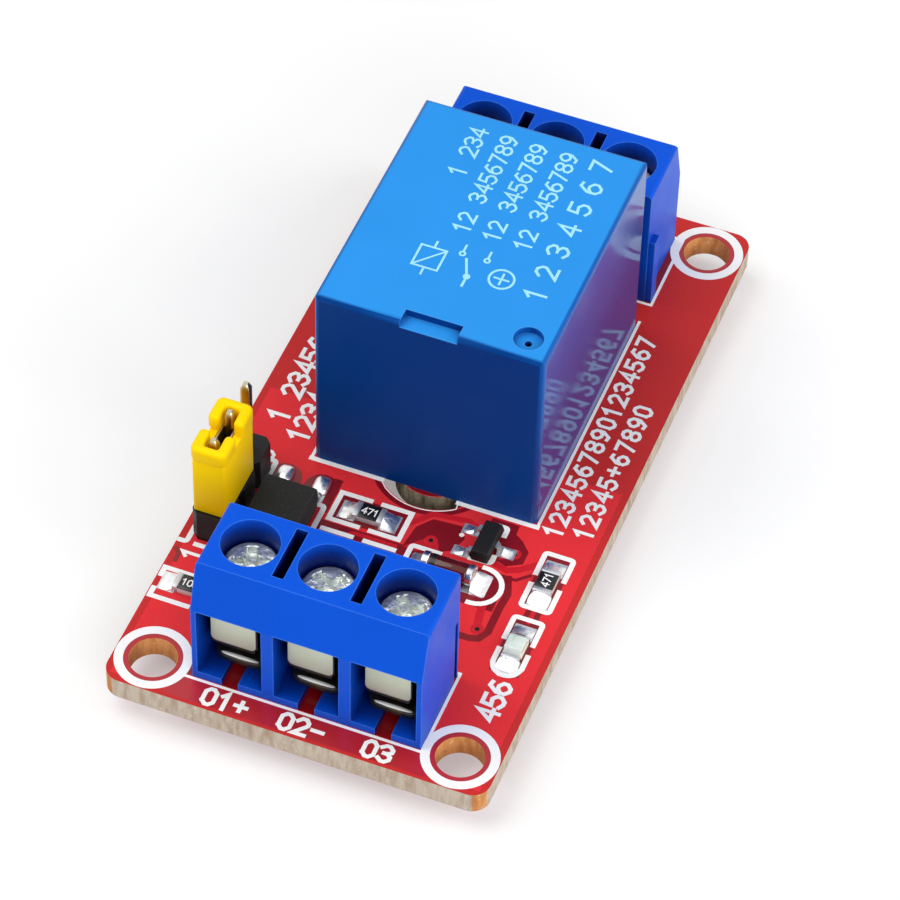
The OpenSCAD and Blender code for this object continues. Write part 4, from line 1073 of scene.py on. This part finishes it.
def jumper():
    """Hollow cap with two puffed collars that leave its middle open."""
    low, high = span("jumper_cap")
    x, y = middle("jumper_cap")
    collar_z = high.z - 1.25
    half, end = (high.x - low.x) / 2, (high.y - low.y) / 2
    side, length = (high.x - low.x) - 0.24, (high.y - low.y) - 0.24
    piece = Piece("jumper_shell", jumper_yellow)
    piece.skin([round_loop(x, y, *sizes) for sizes in (
        (side, length, 0.16, low.z + 0.08), (side, length, 0.16, collar_z - 0.05),
        (side - 0.12, length - 0.12, 0.12, collar_z + 0.03), (1.1, 3.8, 0.06, collar_z + 0.03),
        (1.0, 3.7, 0.05, collar_z - 0.08), (1.0, 3.7, 0.05, low.z),
        (side - 0.14, length - 0.14, 0.12, low.z))], capped=False)
    inner, corner, slot_half = end - 1.95, 0.5, 0.5
    outline = [(half, inner), *arc(half - corner, end - corner, corner, 0, 90, 6),
               *arc(corner - half, end - corner, corner, 90, 180, 6), (-half, inner), (-slot_half, inner),
               (-slot_half, 1.8), (slot_half, 1.8), (slot_half, inner)]
    for sign in (-1, 1):
        piece.prism([(x + px, y + sign * py) for px, py in outline[::sign]], collar_z, high.z, 0.3, steps=6)
    piece.put("jumper", slot="jumper_yellow", replaces=["jumper_cap"], angle=50)


for pin in (1, 2, 3):
    header_pin(pin)
jumper()


# ---------- terminal clamps ----------

def clamp_place(block, part, i):
    """Node name, corners, middle in x, way in from the block's front, and front face, of a clamp's part."""
    node = f"{block}_{part}_{i}"
    low, high = span(node)
    sign = 1 if block == "input" else -1
    return node, low, high, middle(node)[0], sign, low.y if sign > 0 else high.y


def wire_guard(block, i):
    """Sheet guard: a pale flap with round corners above a rolled foot."""
    node, low, high, x, sign, face_y = clamp_place(block, "wire_guard", i)
    piece = Piece(node + "_sheet", guard_steel, guard_curl_painted_shade)
    half = (high.x - low.x) / 2
    bend, sheet, corner, turns = 0.86, 0.3, 0.42, 12
    tongue, foot_out, foot_in, foot_half = high.z - 3.3, 0.9, 4.0, 1.25
    corner_z = tongue + 1.02 + corner
    outline = [(x + half, high.z), (x - half, high.z), *arc(x - half + corner, corner_z, corner, 180, 270, 5),
               *arc(x + half - corner, corner_z, corner, 270, 360, 5)]
    upright = Matrix(((1, 0, 0, 0), (0, 0, sign, face_y), (0, 1, 0, 0), (0, 0, 0, 1)))
    piece.prism(outline, 0.0, sheet, 0.07, place=upright)
    rows = []
    for k in range(turns + 1):
        a = math.radians(90 * k / turns)
        w = half - 0.03 - 0.6 * (k / turns) ** 1.2
        row = [(x + edge, face_y + sign * (foot_out - radius * math.cos(a)),
                tongue + foot_out + sheet * (1 - k / turns) - radius * math.sin(a))
               for radius, edge in ((bend, w), (bend, -w), (bend - sheet, -w), (bend - sheet, w))]
        rows.append(row[::sign])
    # The curl and the foot take the dark finish: painted shade.
    piece.skin(rows, finish=1)
    y0, y1 = sorted((face_y + sign * foot_out, face_y + sign * foot_in))
    piece.block((x - foot_half, y0, tongue + 0.02), (x + foot_half, y1, tongue + 0.34), 0.04, 1)
    piece.put(f"{block}_guard_{i}", slot="guard_steel", replaces=[node])


def clamp_cage(block, i):
    """Plated clamp: a floor with a white front ridge as a painted highlight, a back, a threaded plate and its
    pin.
    """
    node, low, high, x, sign, front_y = clamp_place(block, "clamp", i)
    half, deep, corner = (high.x - low.x) / 2, high.y - low.y, 0.9
    hole_at, hole = abs(middle(f"{block}_screw_{i}")[1] - front_y), 1.3
    floor_low, floor_top, plate_low = BOARD_TOP + 0.6, BOARD_TOP + 1.1, high.z - 1.1
    piece = Piece(node + "_cage", clamp_tin, ridge_painted_highlight)
    outline = [(half, deep), (-half, deep), *arc(corner - half, corner, corner, 180, 270, 6),
               *arc(half - corner, corner, corner, 270, 360, 6)]
    piece.prism([(x + px, front_y + sign * depth) for px, depth in outline], floor_low, floor_top, 0.05)
    for x0, x1, near, far, z0, z1 in ((-half, half, deep - 0.5, deep, floor_top - 0.05, plate_low + 0.1),
                                      (-half, -hole, 0, deep, plate_low, high.z),
                                      (hole, half, 0, deep, plate_low, high.z),
                                      (-hole, hole, 0, hole_at - hole, plate_low, high.z),
                                      (-hole, hole, hole_at + hole, deep, plate_low, high.z)):
        y0, y1 = sorted((front_y + sign * near, front_y + sign * far))
        piece.block((x + x0, y0, z0), (x + x1, y1, z1), 0.04)
    piece.lathe(x, front_y + sign * hole_at, [(0.42, low.z), (0.5, low.z + 0.1), (0.5, floor_low + 0.1)],
                steps=20)
    ridge, steps, ridge_half = [], 16, 1.3
    for k in range(steps + 1):
        lean = math.radians(180 * k / steps)
        swell = math.sin(lean) ** 0.5
        ridge.append([(x - ridge_half * math.cos(lean), front_y + sign * (0.22 + 0.2 * swell * c),
                       floor_top - 0.09 + (0.02 + 0.14 * swell) * s) for c, s in around(steps)])
    # The ridge takes the white finish: painted highlight.
    piece.skin(ridge, finish=1)
    bmesh.ops.recalc_face_normals(piece.mesh, faces=piece.mesh.faces)
    piece.put(slot="clamp_tin", replaces=[node])


def clamp_screw(block, i, turn):
    """Screw with a cross recess pressed into its slightly domed head."""
    node = f"{block}_screw_{i}"
    low, high = span(node)
    x, y = middle(node)
    radius, shank, rings = (high.x - low.x) / 2, 1.25, 22

    def held(value):
        return min(1.0, max(0.0, value))

    def depth(px, py):
        across, along = sorted((abs(px), abs(py)))
        reach = math.hypot(px, py)
        arm = held((0.36 - across) / 0.1) * held((1.32 - along) / 0.22)
        return 0.1 * (reach / radius) ** 2 + max(0.42 * arm, 0.7 * held((0.66 - reach) / 0.3))

    head = [(0.012 + (radius - 0.16) * k / rings, None) for k in range(rings + 1)]
    sides = [(radius - 0.05, 0.15), (radius, 0.26), (radius, 1.34), (radius - 0.06, 1.4), (shank, 1.4),
             (shank, high.z - low.z)]
    rows = [[(x + r * c, y + r * s, high.z - (depth(r * flat_c, r * flat_s) if drop is None else drop))
             for (c, s), (flat_c, flat_s) in zip(around(96, turn), around(96))] for r, drop in head + sides]
    piece = Piece(node + "_cross", screw_zinc)
    piece.skin(rows[::-1])
    piece.put(f"{block}_screw_{i}", slot="screw_zinc", replaces=[node], angle=28)


for block in ("input", "output"):
    for i, turn in ((1, 0.35), (2, 0.95), (3, 0.62)):
        wire_guard(block, i)
        clamp_cage(block, i)
        clamp_screw(block, i, turn)


# ---------- relay ----------

def relay_print():
    """Rows of plain figures and a plain contact diagram on the relay's top."""
    piece = Piece("relay_print", cyan_print)
    z = relay_high.z + 0.006
    figures(piece, "1 234", -2.42, 9.3, 1.1, 90, 0.17, z, advance=0.84)
    for x in (-0.38, 1.65, 3.72):
        figures(piece, "12 3456789", x, 4.75, 1.06, 90, 0.17, z, advance=0.87)
    figures(piece, "1 2 3 4 5 6 7", 6.08, 1.0, 1.34, 90, 0.2, z, advance=0.745)
    piece.ribbon([(-2.7, 0.95), (-1.0, 0.95), (-1.0, 2.75), (-2.7, 2.75)], 0.15, z, closed=True)
    piece.ribbons(0.15, z, [(-1.85, 0.95), (-1.85, 0.35)], [(-1.85, 2.75), (-1.85, 3.3)])
    piece.ribbon([(-2.7, 0.95), (-1.0, 2.75)], 0.13, z)
    piece.ribbon([(0.9, 0.35), (0.9, 1.2), (0.35, 2.6)], 0.17, z)
    for x, y in ((0.9, 1.2), (-0.05, 2.95), (1.6, 2.95)):
        piece.ring(x, y, 0.1, 0.24, z, steps=20)
    piece.ribbons(0.15, z, [(-0.05, 3.15), (-0.05, 3.7)], [(1.6, 3.15), (1.6, 3.7)])
    piece.ring(3.0, 1.8, 0.72, 0.88, z, steps=40)
    piece.ribbons(0.15, z, [(3.0, 1.35), (3.0, 2.25)], [(2.55, 1.8), (3.45, 1.8)])
    piece.put(slot="relay_blue")


relay_print()


# ---------- finishes and soft edges on the frame's own pieces ----------

for finish, names in ((terminals, "input_terminal_housing output_terminal_housing"),
                      (relay_case, "relay_case"), (relay_floor, "relay_base"), (bobbin, "relay_bobbin"),
                      (coil_wire, "relay_winding"),
                      (relay_iron, "relay_core relay_yoke relay_armature"),
                      (bronze_leaf, "relay_contact_spring relay_return_spring relay_open_contact"
                                    " relay_closed_contact"),
                      (contact_silver, "relay_moving_contact"),
                      (tinned, "relay_common_pin relay_coil_pin_1 relay_coil_pin_2 optocoupler_leads"
                               " transistor_leads"),
                      (header_black, "header_base"), (clip_tin, "jumper_clip"),
                      (chip_grey, "optocoupler_body"), (chip_black, "transistor_body")):
    give(finish, *names.split())

for node_name, edge_mm in (("input_terminal_housing", 0.07), ("output_terminal_housing", 0.07),
                           ("relay_case", 0.12), ("header_base", 0.05),
                           ("optocoupler_body", 0.08), ("transistor_body", 0.06)):
    round_edges(node_name, edge_mm)


# ---------- floor, light and camera ----------

def rays_that_show(tree):
    """One for rays that show the background: those of the eye, of reflections and through glass."""
    path = add_node(tree, "LightPath").outputs
    shown = sum_of(tree, "MAXIMUM", path["Is Camera Ray"], path["Is Glossy Ray"])
    return sum_of(tree, "MAXIMUM", shown, path["Is Transmission Ray"])


def floor():
    """Plain pale floor that keeps the part's shadow."""
    data = bpy.data.meshes.new("floor")
    reach, gap = 1.5, 0.00001
    data.from_pydata([(-reach, -reach, 0), (reach, -reach, 0), (reach, reach, 0), (-reach, reach, 0)], [],
                     [(0, 1, 2, 3)])
    thing = new_object("floor", data)
    thing.location.z = cad_low.z - gap
    finish = Finish("pale floor", Roughness=0.9, Specular_IOR_Level=0.1, Emission_Strength=0.3)
    seen = rays_that_show(finish.tree)
    finish.link(Base_Color=blend(finish.tree, seen, (0.42, 0.42, 0.43, 1), (0.7, 0.7, 0.7, 1)),
                Emission_Color=blend(finish.tree, seen, BLACK, WHITE))
    data.materials.append(finish.material)
    thing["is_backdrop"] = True


def lamp(name, place, aim, size, power):
    data = bpy.data.lights.new(name, "AREA")
    data.shape = "DISK"
    data.size = size
    data.energy = power
    thing = new_object(name, data)
    thing.location = place
    thing.rotation_euler = (Vector(aim) - Vector(place)).to_track_quat("-Z", "Y").to_euler()


def surroundings():
    """White to the eye and in reflections, and a low even light on the part."""
    even_light = 0.42
    world = bpy.data.worlds.new("surroundings")
    bpy.context.scene.world = world
    world.use_nodes = True
    tree = world.node_tree
    sky = tree.nodes["Background"]
    feed(tree, sky.inputs["Strength"], sum_of(tree, "MAXIMUM", rays_that_show(tree), even_light))
    feed(tree, sky.inputs["Color"], WHITE)


def camera():
    data = bpy.data.cameras.new("camera")
    data.sensor_width = 36.0
    data.lens = 173.317
    data.shift_x = -0.00117
    data.shift_y = -0.03135
    data.clip_start = 0.01
    thing = new_object("camera", data)
    thing.location = (0.063963, -0.173073, 0.212353)
    thing.rotation_euler = [math.radians(a) for a in (41.52694, -1.09067, 21.34128)]
    bpy.context.scene.camera = thing


floor()
lamp("key light", (-0.26, -0.06, 0.42), (0, 0, 0), 0.5, 1.35)
lamp("fill light", (0.25, -0.36, 0.2), (0, 0, 0.006), 0.4, 1.3)
lamp("side light", (0.4, 0.1, 0.2), (0, 0, 0.006), 0.35, 0.7)
surroundings()
camera()
bpy.context.scene.view_settings.view_transform = "Standard"
